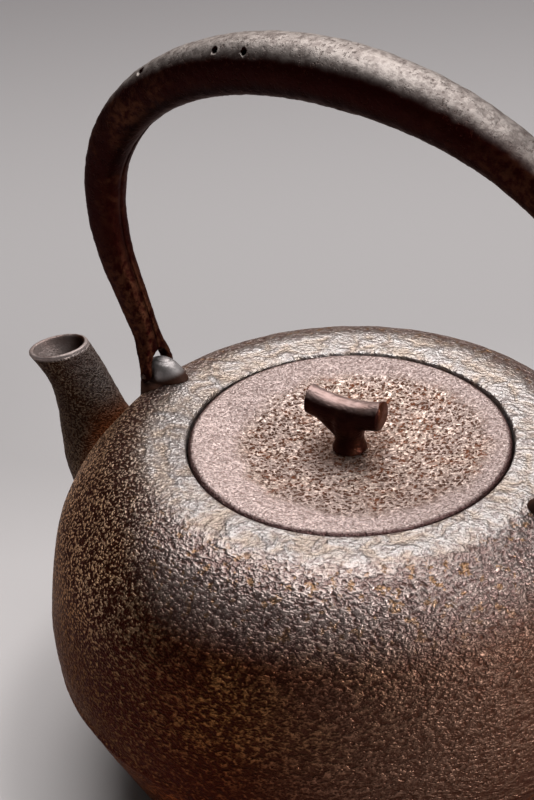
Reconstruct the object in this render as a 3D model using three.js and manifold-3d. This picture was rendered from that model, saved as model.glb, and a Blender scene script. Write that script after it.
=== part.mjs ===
// Cast-iron kettle with a loose lid and an overhead bail handle, in millimetres, +Z up.
// The origin is the centre of the flat base. The spout points along -X and the handle stands in the XZ plane.
import * as THREE from "three";
import { mergeVertices } from "three/addons/utils/BufferGeometryUtils.js";
import Module from "manifold-3d";

const wasm = await Module();
wasm.setup();

// Kettle body
const BASE_RADIUS = 58;
const BELLY_RADIUS = 90;
const BELLY_HEIGHT = 56;
const RIM_HEIGHT = 111.6;
const WALL = 3.6;
const BASE_THICKNESS = 4.2;
const CASTING_SEAM_HEIGHT = 44;
const CASTING_SEAM_PROUD = 0.5;
const CASTING_SEAM_WIDTH = 3;
const GATE_SCAR_RADIUS = 13;
const FOOT_RING_WIDTH = 6;
const BASE_RECESS = 0.8;

// The outline between the base edge, the belly and the rim edge: shares of the way out and of the way up
const UNDERSIDE_SHAPE = [[0.25, 0.07], [0.485, 0.225], [0.68, 0.44], [0.85, 0.64], [0.965, 0.82]];
const SHOULDER_SHAPE = [
  [0.967, 0.241], [0.9, 0.495], [0.785, 0.663], [0.635, 0.803], [0.47, 0.927], [0.25, 0.99],
];

// Mouth and lid
const MOUTH_RADIUS = 47.1;
const RIM_WIDTH = 3.9;
const MOUTH_ROUND = 1.2;
const MOUTH_EDGE_DROP = 0.1;
const RIM_EDGE_RADIUS = MOUTH_RADIUS + RIM_WIDTH;
const LEDGE_DEPTH = 6;
const LEDGE_WIDTH = 5;
const LEDGE_THICKNESS = 3;
const LID_GAP = 0.9;
const LID_SEAT_GAP = 0.3;
const LID_RIM_DROP = 0.2;
const LID_RIM_ROUND = 2.2;
const LID_BAND_WIDTH = 8;
const LID_DISH_DEPTH = 3.2;
const LID_THICKNESS = 3.4;
const LID_FLANGE_DEPTH = 4.4;
const LID_FLANGE_WALL = 2.6;
const LID_FLANGE_GAP = 0.6;

// Knob: a cut twig on a stem, riveted through the lid over a washer
const TWIG_LENGTH = 22.4;
const TWIG_RADIUS = 4.3;
const TWIG_SAG = 0.9;
const TWIG_OFFSET = 1.1;
const TWIG_TURN = 7;
const TWIG_HEIGHT_OVER_LID = 12.8;
const STEM_WAIST_RADIUS = 4.1;
const STEM_FOOT_RADIUS = 5.2;
const STEM_FOOT_HEIGHT = 1.2;
const TANG_RADIUS = 2.4;
const TANG_GAP = 0.35;
const WASHER_RADIUS = 7;
const WASHER_THICKNESS = 1.4;
const RIVET_HEAD_RADIUS = 3.9;
const RIVET_HEAD_HEIGHT = 1.8;
const FITTING_GAP = 0.3;

// Spout: from its root inside the body's outline out to the lip
const SPOUT_ROOT_DEPTH = 16;
const SPOUT_ROOT_OUT = BELLY_RADIUS - SPOUT_ROOT_DEPTH;
const SPOUT_ROOT_RISE = 5;
const SPOUT_ROOT_HEIGHT = BELLY_HEIGHT + SPOUT_ROOT_RISE;
const SPOUT_ROOT_RADIUS = 20;
const SPOUT_NECK_RADIUS = 8.6;
const SPOUT_REACH = 19.2;
const SPOUT_LIP_OUT = BELLY_RADIUS + SPOUT_REACH;
const SPOUT_LIP_DROP = 4;
const SPOUT_LIP_HEIGHT = RIM_HEIGHT - SPOUT_LIP_DROP;
const SPOUT_LIP_SLOPE = 14;
const SPOUT_WALL = 2;
const SPOUT_BORE_MAX = 9;
const JOINT_GAP = 0.3;

// The spout's centre line and radius: shares of the way out, of the way up,
// and of the way from the neck's radius to the root's
const SPOUT_SHAPE = [
  [0, 0, 1],
  [0.29, 0.15, 0.77],
  [0.51, 0.31, 0.505],
  [0.62, 0.47, 0.275],
  [0.7, 0.645, 0.115],
  [0.8, 0.815, 0.02],
  [0.93, 0.945, 0],
  [1.19, 1.14, 0.075],
];

// Lugs: a dome with a flared foot, leaning outwards, given as shares of its height, length and thickness
const LUG_INSET = 4.5;
const LUG_DISTANCE = (RIM_EDGE_RADIUS + BELLY_RADIUS) / 2 - LUG_INSET;
const LUG_HALF_LENGTH = 8.7;
const LUG_HALF_THICKNESS = 6.8;
const LUG_HEIGHT = 7.3;
const LUG_LEAN = 1.2;
const LUG_SHAPE = [
  [-0.8, 1, 1.2],
  [-0.3, 1, 1.1],
  [0, 1, 0.94],
  [0.05, 0.99, 0.74],
  [0.1, 0.97, 0.64],
  [0.3, 0.89, 0.61],
  [0.5, 0.78, 0.57],
  [0.7, 0.63, 0.5],
  [0.85, 0.47, 0.4],
  [0.95, 0.28, 0.25],
  [1, 0.08, 0.08],
];

// Pins
const PIN_OFFSET_OUT = 3.9;
const PIN_RISE = 3;
const PIN_RADIUS = 0.9;
const PIN_GAP = 0.3;
const PIN_PROUD = 0.3;

// Handle: a bail rolled from sheet, open along a seam on its inner side, forked at both ends
const HANDLE_RISE = 113.2;
const HANDLE_TOP = RIM_HEIGHT + HANDLE_RISE;
const HANDLE_ARCH_HEIGHT = 59.4;
const HANDLE_SPAN_HEIGHT = HANDLE_TOP - HANDLE_ARCH_HEIGHT;
const HANDLE_INSET = 5.5;
const HANDLE_HALF_SPAN = BELLY_RADIUS - HANDLE_INSET;
const HANDLE_ARCH_POWER = 2.06;
const HANDLE_LEG_UPPER = 0.396;
const HANDLE_LEG_OUT = 0.434;
const HANDLE_LEG_LOWER = 0.479;
const HANDLE_TOP_RADIUS = 8.8;
const HANDLE_END_RADIUS = 3;
const HANDLE_TAPER_POWER = 1.35;
const HANDLE_TOP_SQUARENESS = 2.1;
const HANDLE_LEG_SQUARENESS = 2.8;
const HANDLE_SHEET = 2;
const HANDLE_SEAM_WIDTH = 0.5;

// Fork at the handle's end: two flat prongs with an arched slot between them
const FORK_SLOT_HALF_WIDTH = 4.6;
const FORK_SLOT_SIDE = 1;
const FORK_SLOT_TOP = 6.8;
const FORK_PRONG = 1.9;
const FORK_PRONG_HALF_WIDTH = 2;
const FORK_STRAIGHT = 1.6;
const FORK_END_MARGIN = 2.2;
const FORK_FLARE_START = 13.5;
const FORK_FLARE_END = 2;
const FORK_SQUARENESS = 5;

// Holes eaten through the sheet, as a share of the half span and the lean towards the front side
const WORM_HOLE_RADIUS = 0.9;
const WORM_HOLES = [
  { along: -0.42, lean: 44 },
  { along: -0.308, lean: 50 },
  { along: -0.722, lean: 35 },
];

const LATHE_SIDES = 56;
const SPOUT_SIDES = 20;
const HANDLE_STEPS = 16;
const RAD = Math.PI / 180;

// Finishes
const finish = (color, roughness, metalness) =>
  new THREE.MeshStandardMaterial({ color, roughness, metalness });
const BROWN_IRON = finish(0x5b4a40, 0.55, 0.6);
const RUST_IRON = finish(0x6a4a3a, 0.6, 0.5);
const LID_IRON = finish(0x665049, 0.5, 0.6);
const DARK_IRON = finish(0x3c3431, 0.45, 0.7);
const HANDLE_IRON = finish(0x4a3a33, 0.5, 0.7);
const RIVET_IRON = finish(0x54483f, 0.5, 0.8);

const point = (x, y) => new THREE.Vector2(x, y);
const smooth = (points, count) => new THREE.SplineCurve(points).getPoints(count);

// A closed geometry as a solid that can be cut and joined
function solid(geometry) {
  const bare = geometry.index ? geometry.toNonIndexed() : geometry.clone();
  bare.deleteAttribute("normal");
  bare.deleteAttribute("uv");
  const merged = mergeVertices(bare, 1e-4);
  return new wasm.Manifold(new wasm.Mesh({
    numProp: 3,
    vertProperties: merged.attributes.position.array,
    triVerts: new Uint32Array(merged.index.array),
  }));
}

// A solid as a named mesh
function named(name, body, material) {
  const { vertProperties, triVerts } = body.getMesh();
  const geometry = new THREE.BufferGeometry();
  geometry.setAttribute("position", new THREE.BufferAttribute(vertProperties, 3));
  geometry.setIndex(new THREE.BufferAttribute(triVerts, 1));
  geometry.computeVertexNormals();
  const mesh = new THREE.Mesh(geometry, material);
  mesh.name = name;
  return mesh;
}

// A profile of (radius, height) points turned about the Z axis
function turned(profile, sides = LATHE_SIDES) {
  return solid(new THREE.LatheGeometry(profile, sides).rotateX(Math.PI / 2));
}

// Rings of points, one after another, as a closed tube; each ring is capped as a flat polygon
function lofted(rings) {
  const count = rings[0].length;
  const positions = rings.flat().flatMap((p) => [p.x, p.y, p.z]);
  const index = [];
  for (let ring = 0; ring + 1 < rings.length; ring++) {
    for (let i = 0; i < count; i++) {
      const a = ring * count + i;
      const b = ring * count + (i + 1) % count;
      index.push(a, b, b + count, a, b + count, a + count);
    }
  }
  const last = (rings.length - 1) * count;
  const cap = THREE.ShapeUtils.triangulateShape(flat(rings[0]), []);
  const endCap = THREE.ShapeUtils.triangulateShape(flat(rings.at(-1)), []);
  cap.forEach(([a, b, c]) => index.push(a, c, b));
  endCap.forEach(([a, b, c]) => index.push(last + a, last + b, last + c));
  const geometry = new THREE.BufferGeometry();
  geometry.setAttribute("position", new THREE.Float32BufferAttribute(positions, 3));
  geometry.setIndex(index);
  return solid(geometry);
}

// A flat ring of points seen in its own plane, counter-clockwise
function flat(ring) {
  const origin = ring[0];
  const normal = new THREE.Vector3();
  ring.forEach((p, i) => {
    const q = ring[(i + 1) % ring.length];
    normal.add(p.clone().sub(origin).cross(q.clone().sub(origin)));
  });
  normal.normalize();
  const across = new THREE.Vector3(0, 1, 0).cross(normal).normalize();
  const along = normal.clone().cross(across);
  return ring.map((p) => point(p.clone().sub(origin).dot(across), p.clone().sub(origin).dot(along)));
}

// A straight round bar between two points
function bar(from, to, radius, sides = 16) {
  const length = from.distanceTo(to);
  const geometry = new THREE.CylinderGeometry(radius, radius, length, sides);
  const turn = new THREE.Quaternion().setFromUnitVectors(
    new THREE.Vector3(0, 1, 0), to.clone().sub(from).normalize());
  geometry.applyQuaternion(turn);
  geometry.translate(...from.clone().add(to).multiplyScalar(0.5));
  return solid(geometry);
}

// The body's outer outline from the base edge up to the rim edge
function bodyOutline() {
  const up = RIM_HEIGHT - BELLY_HEIGHT;
  const underside = UNDERSIDE_SHAPE.map(([out, rise]) =>
    point(BASE_RADIUS + (BELLY_RADIUS - BASE_RADIUS) * out, BELLY_HEIGHT * rise));
  const shoulder = SHOULDER_SHAPE.map(([out, rise]) =>
    point(RIM_EDGE_RADIUS + (BELLY_RADIUS - RIM_EDGE_RADIUS) * out, BELLY_HEIGHT + up * rise));
  return smooth([
    point(BASE_RADIUS, 0),
    ...underside,
    point(BELLY_RADIUS, BELLY_HEIGHT),
    ...shoulder,
    point(RIM_EDGE_RADIUS, RIM_HEIGHT),
  ], 26);
}

const OUTLINE = bodyOutline();

// The outline moved outwards by a distance, or inwards by a negative one
function offsetOutline(distance) {
  return OUTLINE.map((p, i) => {
    const before = OUTLINE[Math.max(i - 1, 0)];
    const after = OUTLINE[Math.min(i + 1, OUTLINE.length - 1)];
    const run = after.clone().sub(before).normalize();
    return point(p.x + run.y * distance, p.y - run.x * distance);
  });
}

// Height of the shoulder's surface at a distance from the axis
function shoulderHeight(radius) {
  const upper = OUTLINE.filter((p) => p.y >= BELLY_HEIGHT);
  const next = upper.findIndex((p) => p.x <= radius);
  const [a, b] = [upper[next - 1], upper[next]];
  return a.y + (b.y - a.y) * (radius - a.x) / (b.x - a.x);
}

// The filled body grown by the joint gap, which cuts what is seated on the shoulder
function bodyClearance() {
  const grown = offsetOutline(JOINT_GAP);
  const top = grown.at(-1);
  return turned([point(0, grown[0].y), ...grown, point(0, top.y)]);
}

// The seam where the halves of the casting mould met, as a low rounded ridge on the outline
function withCastingSeam(outline) {
  return outline.map((p) => {
    const off = (p.y - CASTING_SEAM_HEIGHT) / CASTING_SEAM_WIDTH;
    return point(p.x + CASTING_SEAM_PROUD * Math.exp(-off * off), p.y);
  });
}

function bodyShell() {
  const ledge = RIM_HEIGHT - LEDGE_DEPTH;
  const ledgeRadius = MOUTH_RADIUS - LEDGE_WIDTH;
  const ledgeUnderside = ledge - LEDGE_THICKNESS;
  const inside = offsetOutline(-WALL)
    .filter((p) => p.y > BASE_THICKNESS + WALL * 0.5 && p.y < ledgeUnderside)
    .filter((p, i) => i % 2 === 0)
    .reverse();
  const recessEdge = BASE_RADIUS - FOOT_RING_WIDTH;
  return turned([
    point(0, 0),
    point(GATE_SCAR_RADIUS, 0),
    point(GATE_SCAR_RADIUS + BASE_RECESS, BASE_RECESS),
    point(recessEdge - BASE_RECESS, BASE_RECESS),
    point(recessEdge, 0),
    ...withCastingSeam(OUTLINE),
    point(MOUTH_RADIUS + MOUTH_ROUND, RIM_HEIGHT - MOUTH_EDGE_DROP),
    point(MOUTH_RADIUS, RIM_HEIGHT - MOUTH_ROUND),
    point(MOUTH_RADIUS, ledge),
    point(ledgeRadius, ledge),
    point(ledgeRadius, ledgeUnderside),
    ...inside,
    point(BASE_RADIUS, BASE_THICKNESS),
    point(0, BASE_THICKNESS),
  ]);
}

const FRONT = -1;
const REAR = 1;

// The spout's round sections, square to its centre line, shrunk by an allowance or held to a largest radius
function spoutRings(allowance, largest = Infinity) {
  const { lerp } = THREE.MathUtils;
  const line = new THREE.CatmullRomCurve3(SPOUT_SHAPE.map(([out, up]) => new THREE.Vector3(
    FRONT * lerp(SPOUT_ROOT_OUT, SPOUT_LIP_OUT, out), 0, lerp(SPOUT_ROOT_HEIGHT, SPOUT_LIP_HEIGHT, up),
  )), false, "centripetal");
  const radii = new THREE.CatmullRomCurve3(SPOUT_SHAPE.map(([, , share], i) => new THREE.Vector3(
    i, lerp(SPOUT_NECK_RADIUS, SPOUT_ROOT_RADIUS, share), 0,
  )), false, "centripetal");
  const steps = 14;
  const side = new THREE.Vector3(0, 1, 0);
  return Array.from({ length: steps + 1 }, (_, step) => {
    const t = step / steps;
    const centre = line.getPoint(t);
    const across = line.getTangent(t).cross(side).normalize();
    const radius = Math.min(radii.getPoint(t).y - allowance, largest);
    return Array.from({ length: SPOUT_SIDES }, (_, i) => {
      const angle = 2 * Math.PI * i / SPOUT_SIDES;
      return centre.clone()
        .addScaledVector(side, radius * Math.cos(angle))
        .addScaledVector(across, radius * Math.sin(angle));
    });
  });
}

const spoutBore = () => lofted(spoutRings(SPOUT_WALL, SPOUT_BORE_MAX));

function spoutTube(clearance) {
  const size = 80;
  const above = new THREE.BoxGeometry(size, size, size);
  above.translate(0, 0, size / 2);
  above.rotateY(-SPOUT_LIP_SLOPE * RAD * -FRONT);
  above.translate(FRONT * SPOUT_LIP_OUT, 0, SPOUT_LIP_HEIGHT);
  return lofted(spoutRings(0)).subtract(solid(above)).subtract(clearance).subtract(spoutBore());
}

const PIN_OUT = LUG_DISTANCE + PIN_OFFSET_OUT;
const PIN_HEIGHT = shoulderHeight(LUG_DISTANCE) + PIN_RISE;
const FORK_HALF_WIDTH = FORK_SLOT_HALF_WIDTH + FORK_PRONG;

function pinBar(end, radius, halfLength) {
  const at = (y) => new THREE.Vector3(end * PIN_OUT, y, PIN_HEIGHT);
  return bar(at(-halfLength), at(halfLength), radius);
}

function lug(end, clearance) {
  const surface = shoulderHeight(LUG_DISTANCE);
  const sides = 20;
  const rings = LUG_SHAPE.map(([rise, length, thickness]) => {
    const out = end * (LUG_DISTANCE + LUG_LEAN * Math.max(rise, 0));
    return Array.from({ length: sides }, (_, i) => {
      const angle = 2 * Math.PI * i / sides;
      return new THREE.Vector3(
        out + LUG_HALF_LENGTH * length * Math.cos(angle),
        LUG_HALF_THICKNESS * thickness * Math.sin(angle),
        surface + LUG_HEIGHT * rise,
      );
    });
  });
  const hole = pinBar(end, PIN_RADIUS + PIN_GAP, FORK_HALF_WIDTH);
  return lofted(rings).subtract(clearance).subtract(hole);
}

// One half of the bail's centre line from the top down to the prong's end, as distance out and height
function handleHalfLine() {
  const arch = Array.from({ length: HANDLE_STEPS }, (_, i) => {
    const angle = i / HANDLE_STEPS * Math.PI / 2;
    return point(
      HANDLE_HALF_SPAN * Math.sin(angle) ** (2 / HANDLE_ARCH_POWER),
      HANDLE_SPAN_HEIGHT + HANDLE_ARCH_HEIGHT * Math.cos(angle) ** (2 / HANDLE_ARCH_POWER));
  });
  const drop = HANDLE_SPAN_HEIGHT - PIN_HEIGHT;
  const inward = HANDLE_HALF_SPAN - PIN_OUT;
  const leg = new THREE.CubicBezierCurve(
    point(HANDLE_HALF_SPAN, HANDLE_SPAN_HEIGHT),
    point(HANDLE_HALF_SPAN, HANDLE_SPAN_HEIGHT - drop * HANDLE_LEG_UPPER),
    point(PIN_OUT + inward * HANDLE_LEG_OUT, PIN_HEIGHT + drop * HANDLE_LEG_LOWER),
    point(PIN_OUT, PIN_HEIGHT + FORK_STRAIGHT));
  const prong = [point(PIN_OUT, PIN_HEIGHT), point(PIN_OUT, PIN_HEIGHT - FORK_END_MARGIN)];
  return [...arch, ...leg.getPoints(12), ...prong];
}

// Stations along the whole bail, rear end to front end, each with its place, half-widths and squareness
function handleStations() {
  const { lerp, smoothstep } = THREE.MathUtils;
  const half = handleHalfLine();
  const lengths = half.map((p, i) => (i ? p.distanceTo(half[i - 1]) : 0));
  const total = lengths.reduce((a, b) => a + b);
  const forkFull = PIN_HEIGHT + FORK_FLARE_END - FORK_END_MARGIN;
  const forkStart = PIN_HEIGHT + FORK_FLARE_START;
  let run = 0;
  const down = half.map((p, i) => {
    run += lengths[i];
    const share = run / total;
    const round = lerp(HANDLE_TOP_RADIUS, HANDLE_END_RADIUS, share ** HANDLE_TAPER_POWER);
    const fork = 1 - smoothstep(p.y, forkFull, forkStart);
    return {
      place: p,
      thick: lerp(round, FORK_PRONG_HALF_WIDTH, fork),
      wide: lerp(round, FORK_HALF_WIDTH, fork),
      power: lerp(lerp(HANDLE_TOP_SQUARENESS, HANDLE_LEG_SQUARENESS, share), FORK_SQUARENESS, fork),
    };
  });
  const side = (end, station) => ({
    ...station,
    place: new THREE.Vector3(end * station.place.x, 0, station.place.y),
  });
  return [
    ...down.slice(1).reverse().map((s) => side(REAR, s)),
    ...down.map((s) => side(FRONT, s)),
  ];
}

// The rolled sheet's section: an outer curve one way round and an inner curve back, open at the inner side
function rolledSection({ thick, wide, power }) {
  const rounded = (value) => Math.sign(value) * Math.abs(value) ** (2 / power);
  const arc = (a, b, count) => {
    const open = Math.asin(Math.min(HANDLE_SEAM_WIDTH / 2 / b, 1) ** (power / 2));
    return Array.from({ length: count }, (_, i) => {
      const angle = open + (2 * Math.PI - 2 * open) * i / (count - 1);
      return point(a * rounded(Math.cos(angle)), -b * rounded(Math.sin(angle)));
    });
  };
  const hollow = Math.max(thick - HANDLE_SHEET, 0.6);
  return [...arc(thick, wide, 18), ...arc(hollow, wide - HANDLE_SHEET, 10).reverse()];
}

function handleBail() {
  const stations = handleStations();
  const places = stations.map((s) => s.place);
  const side = new THREE.Vector3(0, 1, 0);
  const rings = stations.map((station, i) => {
    const before = places[Math.max(i - 1, 0)];
    const after = places[Math.min(i + 1, places.length - 1)];
    const inward = after.clone().sub(before).cross(side).normalize();
    return rolledSection(station).map(({ x, y }) =>
      station.place.clone().addScaledVector(inward, x).addScaledVector(side, y));
  });
  let bail = lofted(rings);
  for (const end of [FRONT, REAR]) {
    bail = bail.subtract(forkSlot(end)).subtract(pinBar(end, PIN_RADIUS + PIN_GAP, FORK_HALF_WIDTH + 1));
  }
  WORM_HOLES.forEach((hole) => {
    bail = bail.subtract(wormHole(hole));
  });
  return bail;
}

// The gap between the two prongs, with an arched top
function forkSlot(end) {
  const steps = 8;
  const arch = Array.from({ length: steps + 1 }, (_, i) => {
    const angle = Math.PI * i / steps;
    return point(
      FORK_SLOT_HALF_WIDTH * Math.cos(angle),
      FORK_SLOT_SIDE + (FORK_SLOT_TOP - FORK_SLOT_SIDE) * Math.sin(angle));
  });
  const below = -3 * FORK_END_MARGIN;
  const shape = new THREE.Shape([
    point(-FORK_SLOT_HALF_WIDTH, below),
    point(FORK_SLOT_HALF_WIDTH, below),
    ...arch,
  ]);
  const depth = HANDLE_TOP_RADIUS * 3;
  const slot = new THREE.ExtrudeGeometry(shape, { depth, bevelEnabled: false });
  slot.translate(0, 0, -depth / 2);
  slot.rotateX(Math.PI / 2);
  slot.rotateZ(Math.PI / 2);
  slot.translate(end * PIN_OUT, 0, PIN_HEIGHT);
  return solid(slot);
}

// A small hole eaten through the sheet, square to the tube and leaning to the front side
function wormHole({ along, lean }) {
  const centre = (share) => new THREE.Vector3(
    HANDLE_HALF_SPAN * share, 0,
    HANDLE_SPAN_HEIGHT
      + HANDLE_ARCH_HEIGHT * (1 - Math.abs(share) ** HANDLE_ARCH_POWER) ** (1 / HANDLE_ARCH_POWER));
  const run = centre(along + 0.01).sub(centre(along - 0.01)).normalize();
  const outward = new THREE.Vector3(-run.z, 0, run.x).multiplyScalar(Math.cos(lean * RAD));
  outward.y = -Math.sin(lean * RAD);
  const from = centre(along).addScaledVector(outward, HANDLE_TOP_RADIUS * 0.4);
  return bar(from, centre(along).addScaledVector(outward, HANDLE_TOP_RADIUS * 1.5), WORM_HOLE_RADIUS, 8);
}

const LID_RADIUS = MOUTH_RADIUS - LID_GAP;
const LID_SEAT = RIM_HEIGHT - LEDGE_DEPTH + LID_SEAT_GAP;
const LID_TOP = RIM_HEIGHT - LID_RIM_DROP;
const LID_CENTRE_TOP = LID_TOP - LID_DISH_DEPTH;
const LID_CENTRE_UNDER = LID_CENTRE_TOP - LID_THICKNESS;

function lidPlate() {
  const flange = MOUTH_RADIUS - LEDGE_WIDTH - LID_FLANGE_GAP;
  const band = LID_RADIUS - LID_BAND_WIDTH;
  const flangeInner = flange - LID_FLANGE_WALL;
  const dish = smooth([
    point(WASHER_RADIUS, LID_CENTRE_TOP),
    point(band * 0.62, LID_CENTRE_TOP + LID_DISH_DEPTH * 0.22),
    point(band * 0.86, LID_CENTRE_TOP + LID_DISH_DEPTH * 0.58),
    point(band, LID_CENTRE_TOP + LID_DISH_DEPTH * 0.84),
    point(LID_RADIUS - LID_RIM_ROUND * 1.4, LID_TOP),
    point(LID_RADIUS - LID_RIM_ROUND * 0.3, LID_TOP - LID_RIM_ROUND * 0.4),
    point(LID_RADIUS, LID_TOP - LID_RIM_ROUND),
  ], 12);
  const tangHole = TANG_RADIUS + TANG_GAP;
  return turned([
    point(tangHole, LID_CENTRE_UNDER),
    point(WASHER_RADIUS + 1, LID_CENTRE_UNDER),
    point(flangeInner * 0.72, LID_CENTRE_UNDER + LID_DISH_DEPTH * 0.2),
    point(flangeInner, LID_CENTRE_UNDER + LID_DISH_DEPTH * 0.4),
    point(flangeInner, LID_SEAT - LID_FLANGE_DEPTH),
    point(flange, LID_SEAT - LID_FLANGE_DEPTH),
    point(flange, LID_SEAT),
    point(LID_RADIUS - 0.4, LID_SEAT),
    point(LID_RADIUS, LID_SEAT + 0.4),
    ...dish.reverse(),
    point(tangHole, LID_CENTRE_TOP),
    point(tangHole, LID_CENTRE_UNDER),
  ]);
}

const WASHER_TOP = LID_CENTRE_UNDER - FITTING_GAP;
const WASHER_UNDER = WASHER_TOP - WASHER_THICKNESS;

function twigKnob() {
  const foot = LID_CENTRE_TOP + FITTING_GAP;
  const twigHeight = LID_CENTRE_TOP + TWIG_HEIGHT_OVER_LID;
  const headTop = WASHER_UNDER - FITTING_GAP;
  const stem = turned([
    point(0, headTop - RIVET_HEAD_HEIGHT),
    point(RIVET_HEAD_RADIUS * 0.7, headTop - RIVET_HEAD_HEIGHT * 0.8),
    point(RIVET_HEAD_RADIUS, headTop - RIVET_HEAD_HEIGHT * 0.25),
    point(RIVET_HEAD_RADIUS, headTop),
    point(TANG_RADIUS, headTop),
    point(TANG_RADIUS, foot),
    point(STEM_FOOT_RADIUS, foot),
    point(STEM_FOOT_RADIUS, foot + STEM_FOOT_HEIGHT * 0.5),
    point(STEM_FOOT_RADIUS * 0.85, foot + STEM_FOOT_HEIGHT),
    point(STEM_WAIST_RADIUS, foot + STEM_FOOT_HEIGHT * 3),
    point(STEM_WAIST_RADIUS, twigHeight - TWIG_RADIUS),
    point(STEM_WAIST_RADIUS * 0.95, twigHeight),
    point(0, twigHeight),
  ], 20);
  const turn = TWIG_TURN * RAD;
  const along = new THREE.Vector3(Math.cos(turn), Math.sin(turn), 0);
  const across = new THREE.Vector3(-Math.sin(turn), Math.cos(turn), 0);
  const up = new THREE.Vector3(0, 0, 1);
  const steps = 8;
  const rings = Array.from({ length: steps + 1 }, (_, step) => {
    const share = step / steps * 2 - 1;
    const centre = along.clone().multiplyScalar(share * TWIG_LENGTH / 2 - TWIG_OFFSET);
    centre.z = twigHeight + TWIG_SAG * (share * share - 0.5);
    return Array.from({ length: 16 }, (_, i) => {
      const angle = 2 * Math.PI * i / 16;
      return centre.clone()
        .addScaledVector(across, TWIG_RADIUS * Math.cos(angle))
        .addScaledVector(up, TWIG_RADIUS * Math.sin(angle));
    });
  });
  return stem.add(lofted(rings));
}

function washer() {
  const hole = TANG_RADIUS + TANG_GAP;
  return turned([
    point(hole, WASHER_UNDER),
    point(WASHER_RADIUS, WASHER_UNDER),
    point(WASHER_RADIUS, WASHER_TOP),
    point(hole, WASHER_TOP),
    point(hole, WASHER_UNDER),
  ], 20);
}

const clearance = bodyClearance();
const kettle = new THREE.Group();
kettle.add(named("kettle_body", bodyShell().subtract(spoutBore()), BROWN_IRON));
kettle.add(named("spout", spoutTube(clearance), RUST_IRON));
for (const [label, end] of [["front", FRONT], ["rear", REAR]]) {
  kettle.add(named(`${label}_lug`, lug(end, clearance), DARK_IRON));
  kettle.add(named(`${label}_handle_pin`, pinBar(end, PIN_RADIUS, FORK_HALF_WIDTH + PIN_PROUD), RIVET_IRON));
}
kettle.add(named("handle", handleBail(), HANDLE_IRON));
kettle.add(named("lid", lidPlate(), LID_IRON));
kettle.add(named("knob", twigKnob(), RUST_IRON));
kettle.add(named("knob_washer", washer(), RIVET_IRON));

export default kettle;
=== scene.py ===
"""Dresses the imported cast-iron kettle: castings, rolled handle, dished lid and twig knob."""
import math

import bmesh
import bpy
import numpy as np
from bpy.props import FloatProperty, FloatVectorProperty, PointerProperty
from mathutils import Matrix, Vector


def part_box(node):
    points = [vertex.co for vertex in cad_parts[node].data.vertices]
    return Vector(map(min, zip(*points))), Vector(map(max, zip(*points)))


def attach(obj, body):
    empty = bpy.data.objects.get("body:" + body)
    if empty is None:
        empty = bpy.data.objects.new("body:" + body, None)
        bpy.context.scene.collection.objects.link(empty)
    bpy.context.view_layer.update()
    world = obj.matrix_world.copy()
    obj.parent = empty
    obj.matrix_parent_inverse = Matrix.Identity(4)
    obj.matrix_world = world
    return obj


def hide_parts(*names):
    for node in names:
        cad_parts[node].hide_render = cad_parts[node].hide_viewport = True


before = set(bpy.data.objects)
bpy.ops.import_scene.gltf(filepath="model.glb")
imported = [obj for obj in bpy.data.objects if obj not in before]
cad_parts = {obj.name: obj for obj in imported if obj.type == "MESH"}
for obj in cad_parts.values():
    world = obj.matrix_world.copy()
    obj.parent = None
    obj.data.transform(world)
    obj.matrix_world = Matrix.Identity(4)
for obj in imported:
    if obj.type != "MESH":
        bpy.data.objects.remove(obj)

bl_info = {
    "name": "Cast-iron kettle",
    "version": (1, 1, 0),
    "blender": (4, 5, 0),
    "location": "3D View > Sidebar > Kettle",
    "description": "Builds the castings, bail handle, lid and knob of a cast-iron kettle",
    "category": "Object",
}

MM = 0.001
RAD = math.pi / 180
FRONT, REAR = -1, 1


def node_box_mm(node):
    """A node's lowest and highest corner in millimetres."""
    low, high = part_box(node)
    return np.array(low) / MM, np.array(high) / MM


# Kettle body, millimetres as in the part's source, then shares of its radii and of its heights
_, BODY_HIGH = node_box_mm("kettle_body")
BELLY_RADIUS, RIM_HEIGHT = float(BODY_HIGH[1]), float(BODY_HIGH[2])
BASE_RADIUS = 58
BELLY_HEIGHT = 56
MOUTH_RADIUS = 47.1
RIM_EDGE_RADIUS = MOUTH_RADIUS + 3.9
BASE_THICKNESS = 4.2
CASTING_SEAM_HEIGHT = 44
CASTING_SEAM_WIDTH = 3
GATE_SCAR_RADIUS = 13
FOOT_RING_WIDTH = 6
BASE_RECESS = 0.8
UNDERSIDE_SHAPE = [(0.25, 0.07), (0.485, 0.225), (0.68, 0.44), (0.85, 0.64), (0.965, 0.82)]
SHOULDER_SHAPE = [(0.967, 0.241), (0.9, 0.495), (0.785, 0.663), (0.635, 0.803), (0.47, 0.927),
                  (0.25, 0.99)]
BODY_SIDES = 520

# Lid, millimetres
LID_RADIUS = float(node_box_mm("lid")[1][1])
LEDGE_DEPTH = 6
LEDGE_WIDTH = 5
LEDGE_THICKNESS = 3
LID_SEAT_GAP = 0.3
LID_RIM_DROP = 0.2
LID_BAND_WIDTH = 8
LID_DISH_DEPTH = 3.2
LID_THICKNESS = 3.4
LID_FLANGE_DEPTH = 4.4
LID_FLANGE_WALL = 2.6
LID_FLANGE_GAP = 0.6
LID_TOP = RIM_HEIGHT - LID_RIM_DROP
LID_CENTRE_TOP = LID_TOP - LID_DISH_DEPTH
LID_CENTRE_UNDER = LID_CENTRE_TOP - LID_THICKNESS
LID_SIDES = 400

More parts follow.
